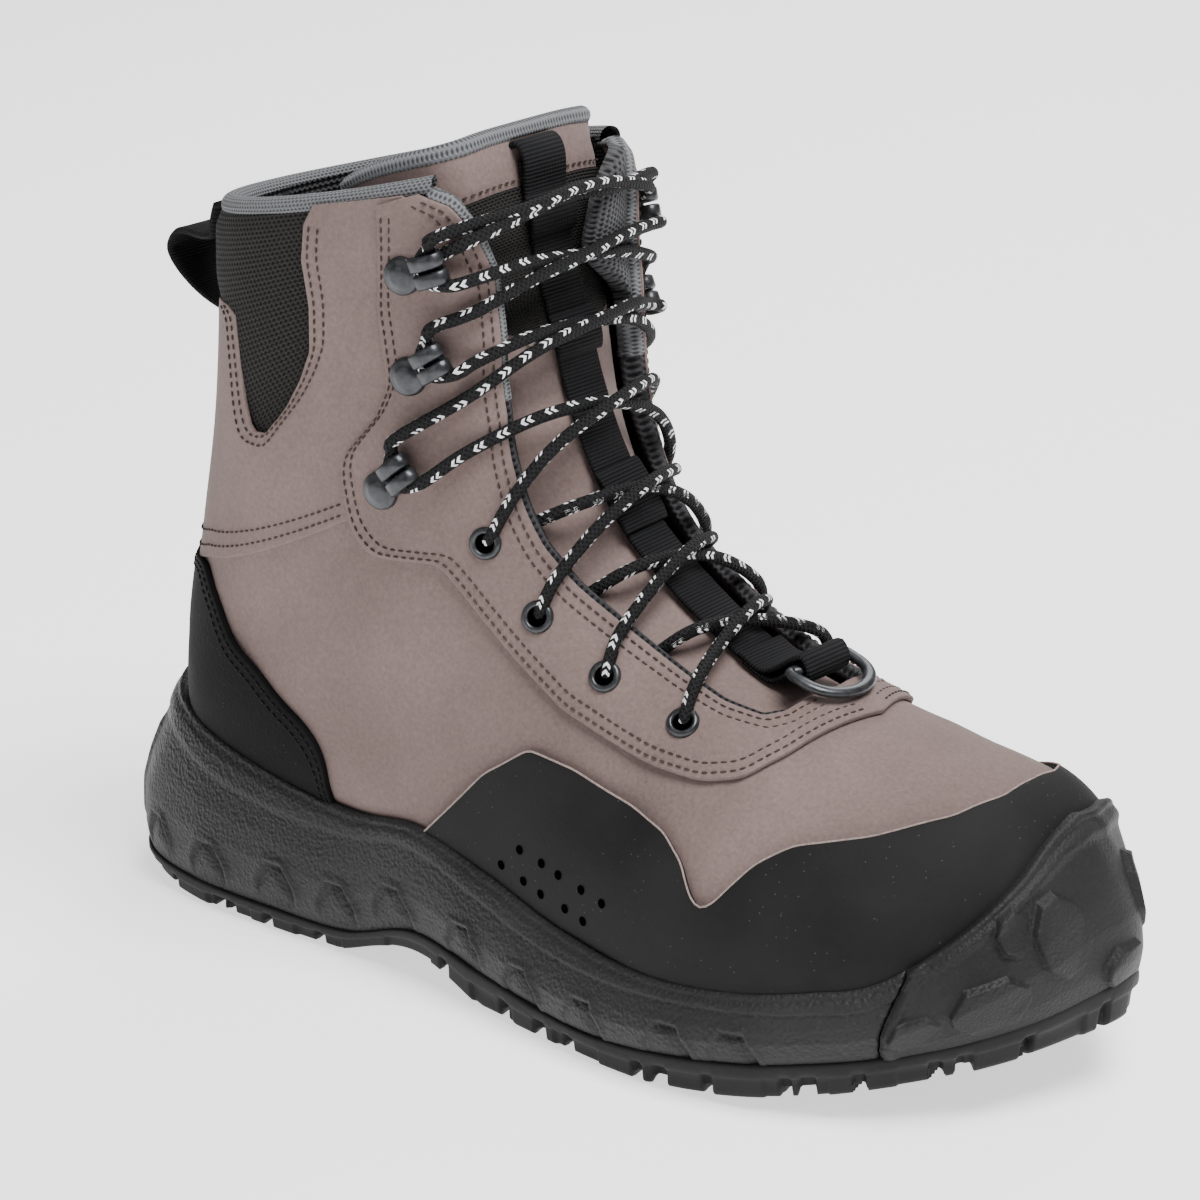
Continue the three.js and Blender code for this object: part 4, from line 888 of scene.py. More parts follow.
make_upper()
make_shaft_panel()
make_ankle_mesh()
make_lining()

# Overlays
OVERLAY_TOP = 1.8


def make_eyestay():
    bm, thread = new_bmesh(), new_bmesh()
    for side in (-1, 1):
        outer = rounded(EYESTAY, side, 5, 1.5)
        inner = rounded(THROAT, side, 1.5, 1.5, len(outer))
        crown = lambda u, a, t: OVERLAY_TOP + 0.35 * np.sin(np.pi * t) + 0.4 * creased(u, a)
        sheet_on_last(bm, side, outer, inner, crown, 16)
        for inset in (1.7, 4.3):
            stitches_on_last(thread, side, outer, inner, inset, OVERLAY_TOP + 0.15, 0.02, 0.99)
            stitches_on_last(thread, side, inner, outer, inset + 0.4, OVERLAY_TOP + 0.15, 0.05, 0.99)
    thicken(piece("eyestay_panel", bm, TAUPE, replaces=["eyestay"]), 1.6, 0.45)
    piece("eyestay_stitches", thread, THREAD)


def make_rand():
    bm, dots, bead = new_bmesh(), new_bmesh(), new_bmesh()
    for side in (-1, 1):
        top = rounded(RAND, side, 3.5, 1.6)
        line = on_last(top[:, 0], top[:, 1] * side, OVERLAY_TOP - 0.1)
        swept(bead, line, circle(0.28, 6), normal_at(top[:, 0], top[:, 1] * side))
        foot = rounded(RAND_FOOT, side, 3, 1.6, len(top))
        sheet_on_last(bm, side, top, foot, lambda u, a, t: np.full_like(u, OVERLAY_TOP), 26)
        # Black discs laid on the rand: painted shade of the drain holes' insides, not holes cut into it
        for u, a in DRAIN_HOLES:
            matrix = seat(u, a * side, OVERLAY_TOP + 0.12)
            bmesh.ops.create_circle(dots, cap_ends=True, segments=14, radius=1.25 * MM, matrix=matrix)
    thicken(piece("rand_panel", bm, RAND_RUBBER, replaces=["toe_rand"]), 1.7, 0.4)
    piece("drain_hole_shade", dots, HOLE_SHADE)
    piece("rand_edge", bead, RAW_EDGE)


def make_counter():
    bm, thread = new_bmesh(), new_bmesh()
    for side in (-1, 1):
        edge = rounded(COUNTER, side, 9, 1.5)
        spine = rounded(COUNTER_SPINE, side, 0, 1.5, len(edge))
        sheet_on_last(bm, side, edge, spine, lambda u, a, t: np.full_like(u, OVERLAY_TOP), 24)
        for inset in (2.0, 4.4):
            stitches_on_last(thread, side, edge, spine, inset, OVERLAY_TOP, 0.05, 0.93)
    thicken(piece("counter_panel", bm, COUNTER_RUBBER, replaces=["heel_counter"]), 1.7, 0.4)
    piece("counter_stitches", thread, DARK_THREAD)


def make_shaft_stitches():
    thread = new_bmesh()
    for side in (-1, 1):
        a = np.linspace(0.415, 0.93, 90)
        for gap in (0.12, 0.27):
            u = edge_at(SHAFT_SEAM, a) + gap
            stitch_row(thread, on_last(u, a * side, 1.0), normal_at(u, a * side))
        front = np.array(WINDOW_FRONT[1:-1])
        back = np.array(WINDOW_BACK[1:-1])
        for gap in (0.014, 0.034):
            loop = np.vstack([back[::-1] + [0, gap], [[WINDOW_SILL - gap * 5.6, 0.605]], front - [0, gap]])
            curve = rounded(loop, side, 4, 1.2)
            stitch_row(thread, on_last(curve[:, 0], curve[:, 1] * side, 1.05),
                       normal_at(curve[:, 0], curve[:, 1] * side))
    way = np.linspace(0.84, 1.16, 40)
    a = np.where(way > 1, way - 2, way)
    u = np.full_like(a, STRIP_TOP - 0.12)
    stitch_row(thread, on_last(u, a, 1.0), normal_at(u, a))
    piece("shaft_stitches", thread, THREAD)


make_eyestay()
make_rand()
make_counter()
make_shaft_stitches()

# Sole. Columns: x as a share of the length, outer, inner, seam, then rim and lean of each side
HEEL_STATIONS = [
    [0, 0, 0, -0.74, 0.313, 9, 0.313, 9],
    [0.013, 0.222, 0.21, -0.74, 0.3, 9, 0.3, 9],
    [0.057, 0.401, 0.395, -0.745, 0.277, 8.1, 0.277, 8.1],
    [0.133, 0.496, 0.481, -0.76, 0.229, 4.6, 0.229, 4.4],
    [0.227, 0.519, 0.469, -0.775, 0.17, 2.0, 0.17, 0.2],
    [0.317, 0.528, 0.426, -0.755, 0.133, 1.3, 0.133, -0.5],
    [0.4, 0.553, 0.414, -0.5, 0.169, -0.4, 0.169, -1.5],
]
FORE_STATIONS = [
    [0.483, 0.426, 0.313, -0.61, 0.1, 1.2, 0.1, -1],
    [0.56, 0.466, 0.357, -0.7, 0.025, 2.6, 0.025, -0.6],
    [0.633, 0.5, 0.409, -0.722, -0.03, 2.6, -0.03, 2.2],
    [0.707, 0.511, 0.452, -0.65, -0.04, 2, -0.04, 2.2],
    [0.78, 0.487, 0.47, -0.56, 0.012, 1.2, 0.012, 2],
    [0.833, 0.443, 0.457, -0.46, 0.048, 0.6, 0.048, 0.9],
    [0.88, 0.374, 0.426, -0.37, 0.09, 0.2, 0.22, -0.4],
    [0.933, 0.265, 0.348, -0.22, 0.23, 2.4, 0.42, 4.2],
    [0.97, 0.13, 0.25, -0.08, 0.37, 7, 0.465, 9.9],
    [0.988, -0.009, 0.183, 0.01, 0.46, 12.2, 0.475, 13.1],
    [0.995, -0.104, 0.104, 0.03, 0.48, 14, 0.48, 14],
]
LAST_STATION = len(HEEL_STATIONS) + len(FORE_STATIONS) - 1


def rim_rows(side):
    rows = []
    for table, width in ((HEEL_STATIONS, HEEL_WIDTH), (FORE_STATIONS, BALL_WIDTH)):
        for x, outer, inner, seam, *upper in table:
            across = -outer * width if side < 0 else inner * width
            rim, lean = upper[:2] if side < 0 else upper[2:]
            rows.append([along(x), across, height(seam), height(rim), lean])
    return rows


RIM = rim_rows(-1) + rim_rows(1)[1:-1][::-1]
RIM_LOOP = np.array(RIM[-2:] + RIM + RIM[:3], float)
ROUND = len(RIM)


def rim_at(place):
    """Around the sole, 0 at the heel's back, over the outer side: foot, seam, rim, lean, inward."""
    place = np.mod(place, ROUND)
    here = spline(RIM_LOOP, place + 2)
    ahead, behind = spline(RIM_LOOP, place + 2.02), spline(RIM_LOOP, place + 1.98)
    inward = np.stack([behind[:, 1] - ahead[:, 1], ahead[:, 0] - behind[:, 0]], axis=-1)
    inward /= np.linalg.norm(inward, axis=1, keepdims=True)
    return here[:, :2] + SHIFT[:2], here[:, 2], here[:, 3], here[:, 4], inward


def ground_at(x):
    """Floor side of the sole, for x along the boot before its shift."""
    front, back, breast, ball = along(0.683), along(0.14), along(0.3), along(0.483)
    toe = np.maximum(0, (x - front) / (LENGTH / 2 - front))
    heel = np.maximum(0, (back - x) / (back + LENGTH / 2))
    arch = np.clip((x - breast) / (ball - breast), 0, 1)
    return TOE_SPRING * toe ** 1.6 + HEEL_SPRING * heel ** 1.5 + ARCH_RISE * np.sin(np.pi * arch) ** 1.3


def wall_point(place, share):
    """A point of the sole's side wall, share up it."""
    foot, seam, rim, lean, inward = rim_at(place)
    bulge = np.interp(share, [0, 0.15, 0.4, 0.6, 0.75, 0.9, 1], [0, -0.55, -1, -0.85, -0.55, -0.2, 0])
    inset = lean * np.clip(share, 0, 1) ** 1.5 + WALL_BELLY * bulge
    z = mix(seam, rim, share)
    return np.column_stack([foot + inward * inset[:, None], z]), inward


PLACES = np.linspace(0, ROUND, 4001)
RUN = run_along(rim_at(PLACES)[0])
TOE_RUN = float(np.interp(LAST_STATION, PLACES, RUN))


def place_at_run(run):
    return np.interp(run, RUN, PLACES)


def arch_marks(run, z, marks):
    """Half hexagons let into the wall, deepest at their top and front flank.
    Rows of run, height, size, depth, and 1 or -1 for the way they face."""
    lift = np.zeros_like(run)
    for at_run, at_z, size, depth, way in marks:
        x, y = (run - at_run) / size * way, (z - at_z) / size
        sides = [x - 0.6, -x - 0.6, y - 0.5, -y - 0.55, 0.842 * x + 0.539 * y - 0.5,
                 -0.842 * x + 0.539 * y - 0.5]
        out = np.max(sides, axis=0) * size
        fade = np.clip((y + 0.55) / 0.5, 0, 1) * (0.25 + 0.75 * np.clip((x + 0.6) / 0.8, 0, 1))
        inside = np.clip(-out - 0.7, 0, None)
        lift -= depth * fade * (1 - smooth(out, -0.85, 0.0)) * np.exp(-inside / 2.6)
        lift += 0.3 * np.abs(depth) * fade * np.exp(-((out - 0.9) / 0.8) ** 2)
    return lift


def raised_plates(run, z, plates):
    """Chamfered plates proud of the wall, tilted so that one corner dies into it.
    Rows of run, height, half width, half height, turn."""
    lift = np.zeros_like(run)
    for at_run, at_z, half_wide, half_high, turn in plates:
        x = (run - at_run) * math.cos(turn) + (z - at_z) * math.sin(turn)
        y = (z - at_z) * math.cos(turn) - (run - at_run) * math.sin(turn)
        corner = (np.abs(x) + np.abs(y) - 0.72 * (half_wide + half_high)) * 0.71
        out = np.max([np.abs(x) - half_wide, np.abs(y) - half_high, corner], axis=0)
        slope = 0.1 + 0.9 * np.clip((y / half_high - x / half_wide) / 2 + 0.5, 0, 1)
        lift = np.maximum(lift, 2.2 * slope * (1 - smooth(out, -0.35, 0.35)))
    return lift


def side_marks():
    outer_x = [(-127, 14), (-103.8, 13.6), (-78, 14.5), (-56, 14.5), (-35, 19.5), (-8.4, 17), (13.7, 12.5),
               (37, 11.5), (64.7, 13.2), (83, 15)]
    marks = []
    for side in (-1, 1):
        low, high = (0, LAST_STATION) if side < 0 else (LAST_STATION, ROUND)
        mask = (PLACES >= low) & (PLACES <= high)
        xs = rim_at(PLACES[mask])[0][:, 0]
        runs = RUN[mask]
        order = np.argsort(xs)
        for x, z in outer_x:
            lean = 1 if side < 0 else -1
            depth = 2.5 if x < 30 else 1.5
            marks.append((float(np.interp(x, xs[order], runs[order])), z, 11.5, depth, lean))
    return marks


SIDE_MARKS = side_marks()
BUMPER_FOOT = along(0.873) + SHIFT[0]
BUMPER_SLANT = 0.2


def bumper_run(share, outer):
    """Where the bumper's back edge crosses the wall, as a run round the rim."""
    low, high = (8, LAST_STATION) if outer else (LAST_STATION, ROUND - 8)
    places = np.linspace(low, high, 600)
    runs = np.interp(places, PLACES, RUN)
    found = np.empty_like(share)
    for i, value in enumerate(share):
        point = wall_point(places, np.full_like(places, value))[0]
        over = point[:, 0] - (BUMPER_FOOT + BUMPER_SLANT * point[:, 2])
        k = int(np.argmax(over > 0)) if outer else int(len(over) - 1 - np.argmax(over[::-1] > 0))
        found[i] = runs[k]
    return found


SHARES = np.linspace(0, 1, 24)
OUTER_CUT = bumper_run(SHARES, True)
INNER_CUT = bumper_run(SHARES, False)


def lip(t):
    """Profile of the wall from its foot (0) over the rounded rim (0.8) and in: share, inset, rise."""
    share = np.clip(t / 0.8, 0, 1)
    turn = np.clip((t - 0.8) / 0.1, 0, 1) * math.radians(80)
    over = np.clip((t - 0.9) / 0.1, 0, 1)
    return share, 1.6 * (1 - np.cos(turn)) + 7.0 * over, 1.6 * np.sin(turn) - 0.8 * over


def wall_piece(bm, across, length, run_from, run_to, lifted, facing):
    def place(s, t):
        share, inset, rise = lip(t)
        run = mix(run_from(share), run_to(share), s)
        where_at = place_at_run(np.mod(run, RUN[-1]))
        base, inward = wall_point(where_at, share)
        out = lifted(np.mod(run, RUN[-1]), base[:, 2], share, s, t)
        points = base + np.column_stack([inward * (inset - out)[:, None], rise])
        return points, pattern(run, t * 40)
    lay(bm, across, length, place, facing)


HEEL_CORNER = 24.0


def make_midsole():
    bm = new_bmesh()

    def relief_out(run, z, share, s, t):
        out = arch_marks(run, z, SIDE_MARKS)
        wave = 0.84 + 0.035 * np.sin(run / 17.0) * smooth(share, 0.2, 0.5)
        out += 0.7 * smooth(share, wave - 0.025, wave + 0.025) * (1 - smooth(share, 0.95, 1.0))
        from_back = np.minimum(run, RUN[-1] - run)
        corner = from_back - HEEL_CORNER - 5 * share
        out += 0.9 * np.exp(-(corner / 1.6) ** 2) * smooth(share, 0.05, 0.2) * (1 - smooth(share, 0.75, 0.85))
        edge = np.minimum(s, 1 - s)
        return out - 0.8 * (1 - smooth(edge, 0, 0.0012)) - 0.25 * (1 - smooth(share, 0, 0.06))

    to_outer = lambda share: np.interp(share, SHARES, OUTER_CUT) - 0.35 + RUN[-1]
    from_inner = lambda share: np.interp(share, SHARES, INNER_CUT) + 0.35
    wall_piece(bm, 1150, 60, from_inner, to_outer, relief_out, (-1, 0, 0))
    piece("midsole_wall", bm, FOAM, replaces=["midsole"])


def make_bumper():
    bm = new_bmesh()
    plates = [(-20, 45, 7.5, 9.5, 0.3), (-40, 31, 10, 6, 0.25), (-58, 25, 6.5, 3.5, 0.3),
              (-33, 48, 5, 5, 0.5), (0, 33, 7.5, 5.5, 0.0), (19, 46, 7.5, 9, -0.3), (36, 33, 8, 5, -0.25)]

    def relief_out(run, z, share, s, t):
        out = 0.5 + raised_plates(run - TOE_RUN, z, plates)
        edge = np.minimum(s, 1 - s)
        rolled = np.exp(-((share - 0.94) / 0.05) ** 2) + np.exp(-((edge - 0.022) / 0.014) ** 2)
        return out + 1.1 * np.minimum(rolled, 1) - 0.9 * (1 - smooth(edge, 0, 0.008))

    wall_piece(bm, 400, 90, lambda share: np.interp(share, SHARES, OUTER_CUT),
               lambda share: np.interp(share, SHARES, INNER_CUT), relief_out, (1, 0, 0))
    piece("bumper_wall", bm, BUMPER_RUBBER, replaces=["toe_bumper"])


def across_sole(place, share, inset):
    """Points across the sole between its two sides at one station."""
    foot, seam, rim, lean, inward = rim_at(place)
    other = rim_at(ROUND - place)
    a = foot + inward * inset
    b = other[0] + other[4] * inset
    return mix(a, b, share[:, None])


GROOVES = [(0.115, -30), (0.2, -12), (0.525, 12), (0.63, 20), (0.735, 30), (0.84, 45)]
GROOVE_WIDTH = 4.0
HEX_WIDTH = 19.0
HEX_PITCH = 23.0
HEX_ROWS = [(0.1, 1, 0), (0.168, 2, 0), (0.235, 1, 0), (0.53, 2, 0), (0.597, 3, 1), (0.664, 2, 0),
            (0.731, 3, 1), (0.798, 2, 1), (0.865, 1, 0)]
NOTCHES = [-138, -121, -103, -84, -66, -20, 2, 26, 50, 71, 92, 110, 127]
NOTCH_WIDTH = 3.0


def groove_depth(point):
    """1 inside a groove or notch of the sole's edge, 0 between."""
    x, y = point[:, 0] - SHIFT[0], point[:, 1] - SHIFT[1]
    depth = np.zeros(len(x))
    for share, slant in GROOVES:
        turn = math.radians(slant)
        off = (x - along(share)) * math.cos(turn) - np.abs(y) * math.sin(turn)
        depth = np.maximum(depth, 1 - smooth(np.abs(off), GROOVE_WIDTH / 2 - 0.4, GROOVE_WIDTH / 2 + 0.4))
    for at in NOTCHES:
        off = x - at - 0.2 * (np.abs(y) - 40)
        depth = np.maximum(depth, 1 - smooth(np.abs(off), NOTCH_WIDTH / 2 - 0.4, NOTCH_WIDTH / 2 + 0.4))
    for at in (-16, 6, 30):
        ends = (np.abs(x) > 138) * (1 - smooth(np.abs(y - at), NOTCH_WIDTH / 2 - 0.4, NOTCH_WIDTH / 2 + 0.4))
        depth = np.maximum(depth, ends)
    return depth


def block_step(run):
    """Every other block of the sole's edge stands a little further in."""
    return smooth(np.sin(run / 33.0 * 2 * np.pi), -0.08, 0.08)


def make_outsole():
    bm = new_bmesh()

    def side_wall(s, t):
        run = s * RUN[-1]
        place = place_at_run(run)
        foot, seam, rim, lean, inward = rim_at(place)
        ground = ground_at(foot[:, 0] - SHIFT[0])
        top = seam + 0.6
        steps = [0, 0.3, 0.36, 0.42, 0.72, 0.78, 0.95, 1]
        rise = np.interp(t, steps, [0, 0, 0.02, 0.12, 0.55, 0.62, 0.96, 1])
        inset = np.interp(t, steps, [LUG_BAND, 2.6, 1.4, 0.5, 0, -0.7, -0.7, 1.5])
        z = mix(ground, top, rise)
        here = np.column_stack([foot + inward * inset[:, None], z])
        cut = groove_depth(here)
        plate = np.minimum(ground + LUG_DEPTH, top - 1.0)
        here[:, 2] = np.where(t < 0.5, np.maximum(here[:, 2], mix(here[:, 2], plate, cut)), here[:, 2])
        low_part = (1 - smooth(t, 0.6, 0.85))
        here[:, :2] += inward * ((cut * 2.6 + 0.9 * block_step(run)) * low_part)[:, None]
        return here, pattern(run, t * 30)

    lay(bm, 1500, 24, side_wall, (-1, 0, 0))

    def plate(s, t):
        place = mix(0.4, LAST_STATION - 0.25, t)
        xy = across_sole(place, s, 6.0)
        z = ground_at(xy[:, 0] - SHIFT[0]) + LUG_DEPTH
        return np.column_stack([xy, z]), pattern(s * 80, t * 280)

    lay(bm, 24, 90, plate, (0, 0, -1))
    inner = new_bmesh()

    def band_wall(s, t):
        run = s * RUN[-1]
        foot, seam, rim, lean, inward = rim_at(place_at_run(run))
        here = np.column_stack([foot + inward * LUG_BAND, ground_at(foot[:, 0] - SHIFT[0]) + t * LUG_DEPTH])
        return here, pattern(run, t * 4)

    lay(inner, 300, 1, band_wall, (1, 0, 0))
    piece("outsole_band", inner, TREAD)
    piece("outsole_wall", bm, TREAD, replaces=["outsole"])


def midline(share):
    return BALL_WIDTH * np.interp(share, [0, 0.3, 0.5, 0.7, 0.85, 1], [0, -0.02, -0.06, -0.03, 0, 0.08])


def make_lugs():
    bm = new_bmesh()
    for share, count, bored in HEX_ROWS:
        x = float(along(share))
        slope = math.atan(float(ground_at(np.array(x + 1)) - ground_at(np.array(x - 1))) / 2)
        for i in range(count):
            y = (i - (count - 1) / 2) * HEX_PITCH + float(midline(share))
            foot = Vector((x + SHIFT[0], y + SHIFT[1], float(ground_at(np.array(x)))))
            base = Matrix.Translation(foot * MM) @ Matrix.Rotation(-slope, 4, "Y")
            socket = bored and i in (0, count - 1)
            if socket:
                outer, inner = HEX_WIDTH / math.sqrt(3), 3.5
                profile = [(inner, LUG_DEPTH + 1), (inner, 0.6), (inner + 0.6, 0), (outer - 0.9, 0),
                           (outer, 0.9), (outer, LUG_DEPTH + 1)]
                turned(bm, profile, base, 6)
                continue
            for turn in (90, 210, 330):
                part = bmesh.ops.create_cone(bm, cap_ends=True, segments=4, radius1=5.1 * MM,
                                             radius2=5.9 * MM, depth=(LUG_DEPTH + 1) * MM)["verts"]
                lift = Matrix.Translation(Vector((0, 0, (LUG_DEPTH + 1) / 2 + 0.1)) * MM)
                squash = Matrix.Diagonal((1.02, 0.8, 1, 1))
                out = Matrix.Rotation(math.radians(turn), 4, "Z") @ Matrix.Translation((5.4 * MM, 0, 0))
                bmesh.ops.transform(bm, matrix=base @ out @ lift @ squash, verts=part)
    made = piece("tread_lugs", bm, TREAD)
    edge = made.modifiers.new("rim", "BEVEL")
    edge.width = 0.35 * MM
    edge.segments = 2


make_midsole()
make_bumper()
make_outsole()
make_lugs()


# Tongue
def tongue_depth(u, a):
    rows = np.interp(u, TONGUE[:, 0], np.arange(len(TONGUE)))
    depth = spline(np.column_stack([np.zeros(len(TONGUE)), TONGUE[:, 1:]]), rows)[..., 1]
    wing = wall_at(u) + TONGUE_CLEARANCE
    far = np.interp(u, [row[0] for row in THROAT], [row[1] for row in THROAT]) + 0.07
    t = np.clip((np.abs(a) - 0.06) / (far - 0.06), 0, 1)
    return mix(np.maximum(depth, wing), wing, t * t * (3 - 2 * t))


def tongue_point(u, share, lift=0.0):
    u, share = np.asarray(u, float), np.asarray(share, float)
    a = share * np.interp(u, TONGUE[:, 0], TONGUE[:, 2])
    eased = u - np.where(u > COLLAR, 0.35 * (u - COLLAR) * share ** 2, 0)
    return on_last(eased, a, lift - tongue_depth(u, a))


def tongue_normal(u, share):
    du = tongue_point(u + 0.03, share) - tongue_point(u - 0.03, share)
    ds = tongue_point(u, share + 0.02) - tongue_point(u, share - 0.02)
    n = np.cross(ds, du)
    return n / np.linalg.norm(n, axis=-1, keepdims=True)


def tongue_top(share):
    """The tongue's top edge, its corners rounded off."""
    return 16.6 - 0.36 * np.abs(share) ** 7


def make_tongue():
    bm = new_bmesh()

    def place(s, t):
        share = 2 * s - 1
        u = mix(5.5, tongue_top(share), t)
        folds = 0.7 * np.sin(share * 9 + u * 0.8) * smooth(np.abs(share), 0.25, 0.5) * (1 - smooth(u, 11, 13))
        points = tongue_point(u, share, folds - 0.2)
        return points, pattern(share * 60, u * 20)

    lay(bm, 50, 130, place, (1, 0, 0.4))
    thicken(piece("tongue_body", bm, TAUPE, replaces=["tongue"]), 3.2, 1.2)
    bm = new_bmesh()

    def inset(s, t):
        u, share = mix(12.1, 15.5, t), 2 * s - 1
        half = np.interp(u, [12.1, 13.4, 15.5], [0.16, 0.6, 0.66])
        points = tongue_point(u, share * half, 0.25)
        return points, pattern(share * 34, u * 20)

    lay(bm, 24, 40, inset, (1, 0, 0.4))
    piece("tongue_mesh", bm, BLACK_MESH)
    bm = new_bmesh()

    def backing(s, t):
        share = 2 * s - 1
        u = mix(9.0, tongue_top(share), t)
        points = tongue_point(u, share, -TONGUE_THICKNESS + 0.2)
        return points, pattern(share * 60, u * 20)

    lay(bm, 30, 60, backing, (-1, 0, -0.4))
    share = np.linspace(-1.0, 1.0, 90)
    up_side = np.linspace(12.3, tongue_top(1.0), 40)
    u = np.concatenate([up_side[:-1], tongue_top(share), up_side[::-1][1:]])
    share = np.concatenate([np.full(39, -1.0), share, np.full(39, 1.0)])
    path = through(tongue_point(u, share, -1.9), 1.2)
    size = 1.9 + 0.6 * smooth(path[:, 2], 195, 214)
    size[0] = size[-1] = 0.4
    swept(bm, path, circle(1, 12), sizes=np.column_stack([size, size]))
    piece("tongue_lining", bm, GREY_LINING)
    thread = new_bmesh()
    share = np.linspace(-0.62, 0.62, 40)
    u = np.full_like(share, 15.62)
    stitch_row(thread, tongue_point(u, share, 0.2), tongue_normal(u, share))
    for side in (-1, 1):
        t = np.linspace(0, 1, 40)
        u = mix(12.0, 15.6, t)
        half = np.interp(u, [12.0, 13.4, 15.6], [0.17, 0.64, 0.7]) * side
        stitch_row(thread, tongue_point(u, half, 0.2), tongue_normal(u, half))
    piece("tongue_stitches", thread, THREAD)


def make_strap():
    bm = new_bmesh()
    u = np.linspace(16.0, 6.75, 150)
    path = tongue_point(u, np.zeros_like(u), 1.1)
    swept(bm, path, strip(STRAP_WIDTH, 1.4), tongue_normal(u, np.zeros_like(u)))
    for middle in (14.9, 12.15, 9.35):
        v = np.linspace(-0.42, 0.42, 22) + middle
        arc = 2.0 + 1.4 * np.cos((v - middle) / 0.42 * math.pi / 2) ** 0.6
        path = tongue_point(v, np.zeros_like(v), arc)
        swept(bm, path, strip(STRAP_WIDTH + 2.4, 1.3), tongue_normal(v, np.zeros_like(v)))
    piece("tongue_webbing", bm, WEBBING, replaces=["tongue_strap"])
    bm = new_bmesh()
    top = tongue_point(np.array([16.12]), np.array([0.0]), 1.4)[0]
    path = through([top + (2.2, 0, -17), top + (2.6, 0, -8), top + (2.4, 0, -1), top + (0.3, 0, 2.6),
                    top + (-2.6, 0, 2.2), top + (-4.0, 0, -3)])
    ups = np.cross(np.gradient(path, axis=0), [0, 1, 0]) * -1
    swept(bm, path, strip(STRAP_WIDTH + 1, 1.6), ups)
    piece("tongue_tab", bm, WEBBING)


make_tongue()
make_strap()

# Hardware
RING_WIRE = 3.6
RING_LIFT = 1.5 + 1.2 + RING_WIRE * 0.35
ring_bar = on_last(6.2, 0.0, RING_LIFT)
ring_slope = on_last(5.4, 0.0, RING_LIFT) - ring_bar
ring_slope[1] = 0
ring_slope /= np.linalg.norm(ring_slope)
ring_up = np.cross(ring_slope, [0, 1, 0])


def make_ring():
    bm = new_bmesh()
    half, depth = 13 - 1.8, 18 - 1.8 - 1.8
    turn = np.linspace(-math.pi / 2, math.pi / 2, 26)
    straight = depth - half * 0.8
    arc = np.column_stack([straight + (depth - straight) * np.cos(turn), half * np.sin(turn)])
    back = np.column_stack([np.full(5, 0.9), np.linspace(half - 1, -half + 1, 5)])
    flat = np.vstack([[[0.9 + 1.0, -half]], arc, [[0.9 + 1.0, half]], [[0.95, half - 0.4]], back,
                      [[0.95, -half + 0.4]]])
    flat[:, 0] -= 0.9
    path = ring_bar + np.outer(flat[:, 0], ring_slope) + np.outer(flat[:, 1], [0, 1, 0])
    section = circle(RING_WIRE / 2, 14, 0.7)
    ups = np.tile(ring_up, (len(path) + 1, 1))
    swept(bm, path, section, ups, closed=True)
    piece("ring_wire", bm, METAL, body="ring", replaces=["d_ring"])


def make_ring_tab():
    bm = new_bmesh()
    tail = tongue_point(np.array([7.0, 6.6]), np.array([0.0, 0.0]), 1.8)
    around = [math.radians(d) for d in (110, 60, 10, -40, -90, -130)]
    loop = [ring_bar + 3.4 * (math.cos(r) * ring_slope + math.sin(r) * ring_up) for r in around]
    tail_low = tongue_point(np.array([6.5, 6.9]), np.array([0.0, 0.0]), 0.8)
    path = through([tail[0], tail[1] + (0, 0, 0.6)] + loop + [tail_low[0], tail_low[1]], 0.9)
    path[:, 1] = ring_bar[1]
    ups = np.cross(np.gradient(path, axis=0), [0, 1, 0]) * -1
    swept(bm, path, strip(17.6, 1.3), ups)
    piece("ring_webbing", bm, WEBBING, replaces=["ring_tab"])


def make_pull_loop():
    bm = new_bmesh()
    top, foot = on_last(15.62, 1.0), on_last(14.7, 1.0)
    root = min(top[0], foot[0]) - 0.3
    outline = [(0.3, 0.02), (0.8, 0.1), (0.98, 0.29), (0.92, 0.47), (0.69, 0.68), (0.38, 0.85), (-0.1, 1.0)]
    middle = (0.45, 0.42)
    eased = [(mix(b, middle[0], 0.07), mix(d, middle[1], 0.07)) for b, d in outline]
    back = [on_last(15.97, 1.0, 1.6), on_last(15.8, 1.0, 3.2), on_last(15.66, 1.0, 4.4)]
    path = through(back + [(root - 25 * b, foot[1], top[2] - 24 * d) for b, d in eased], 1.0)
    path[:, 1] = foot[1] - 7 * (1 - smooth(np.arange(len(path)), 0, 0.45 * len(path)))
    ups = np.cross(np.gradient(path, axis=0), [0, 1, 0])
    swept(bm, path, strip(22, 1.9), ups)
    piece("pull_webbing", bm, WEBBING, replaces=["pull_loop"])


def make_eyelets():
    for name, side in (("outer", -1), ("inner", 1)):
        for i, (u, a) in enumerate(EYELETS):
            bm = new_bmesh()
            lift = OVERLAY_TOP + 0.4
            profile = [(2.5, -2.4), (2.5, 0.5), (2.7, 0.9), (3.2, 1.1), (3.8, 0.8), (4.2, 0.25), (4.2, -0.3)]
            turned(bm, profile, seat(u, a * side, lift), 28)
            piece(f"eyelet_ring_{name}_{i + 1}", bm, METAL, replaces=[f"eyelet_{name}_{i + 1}"])
    # Black discs inside the eyelet rings: painted shade of the eyelet openings
    bm = new_bmesh()
    for side in (-1, 1):
        for u, a in EYELETS:
            matrix = seat(u, a * side, OVERLAY_TOP + 0.62)
            bmesh.ops.create_circle(bm, cap_ends=True, segments=20, radius=2.7 * MM, matrix=matrix)
    piece("eyelet_hole_shade", bm, HOLE_SHADE)


def hook_arm(bm, profile, width, across, matrix):
    """A flat bar bent in the hook's own upright plane, set across it."""
    rows = [(x, across, z) for x, z in profile]
    path = through(rows, 0.5)
    ups = np.cross([0, -1, 0], np.gradient(path, axis=0))
    bar = swept(bm, path, strip(width, 1.3), ups)
    bmesh.ops.transform(bm, matrix=matrix, verts=bar)


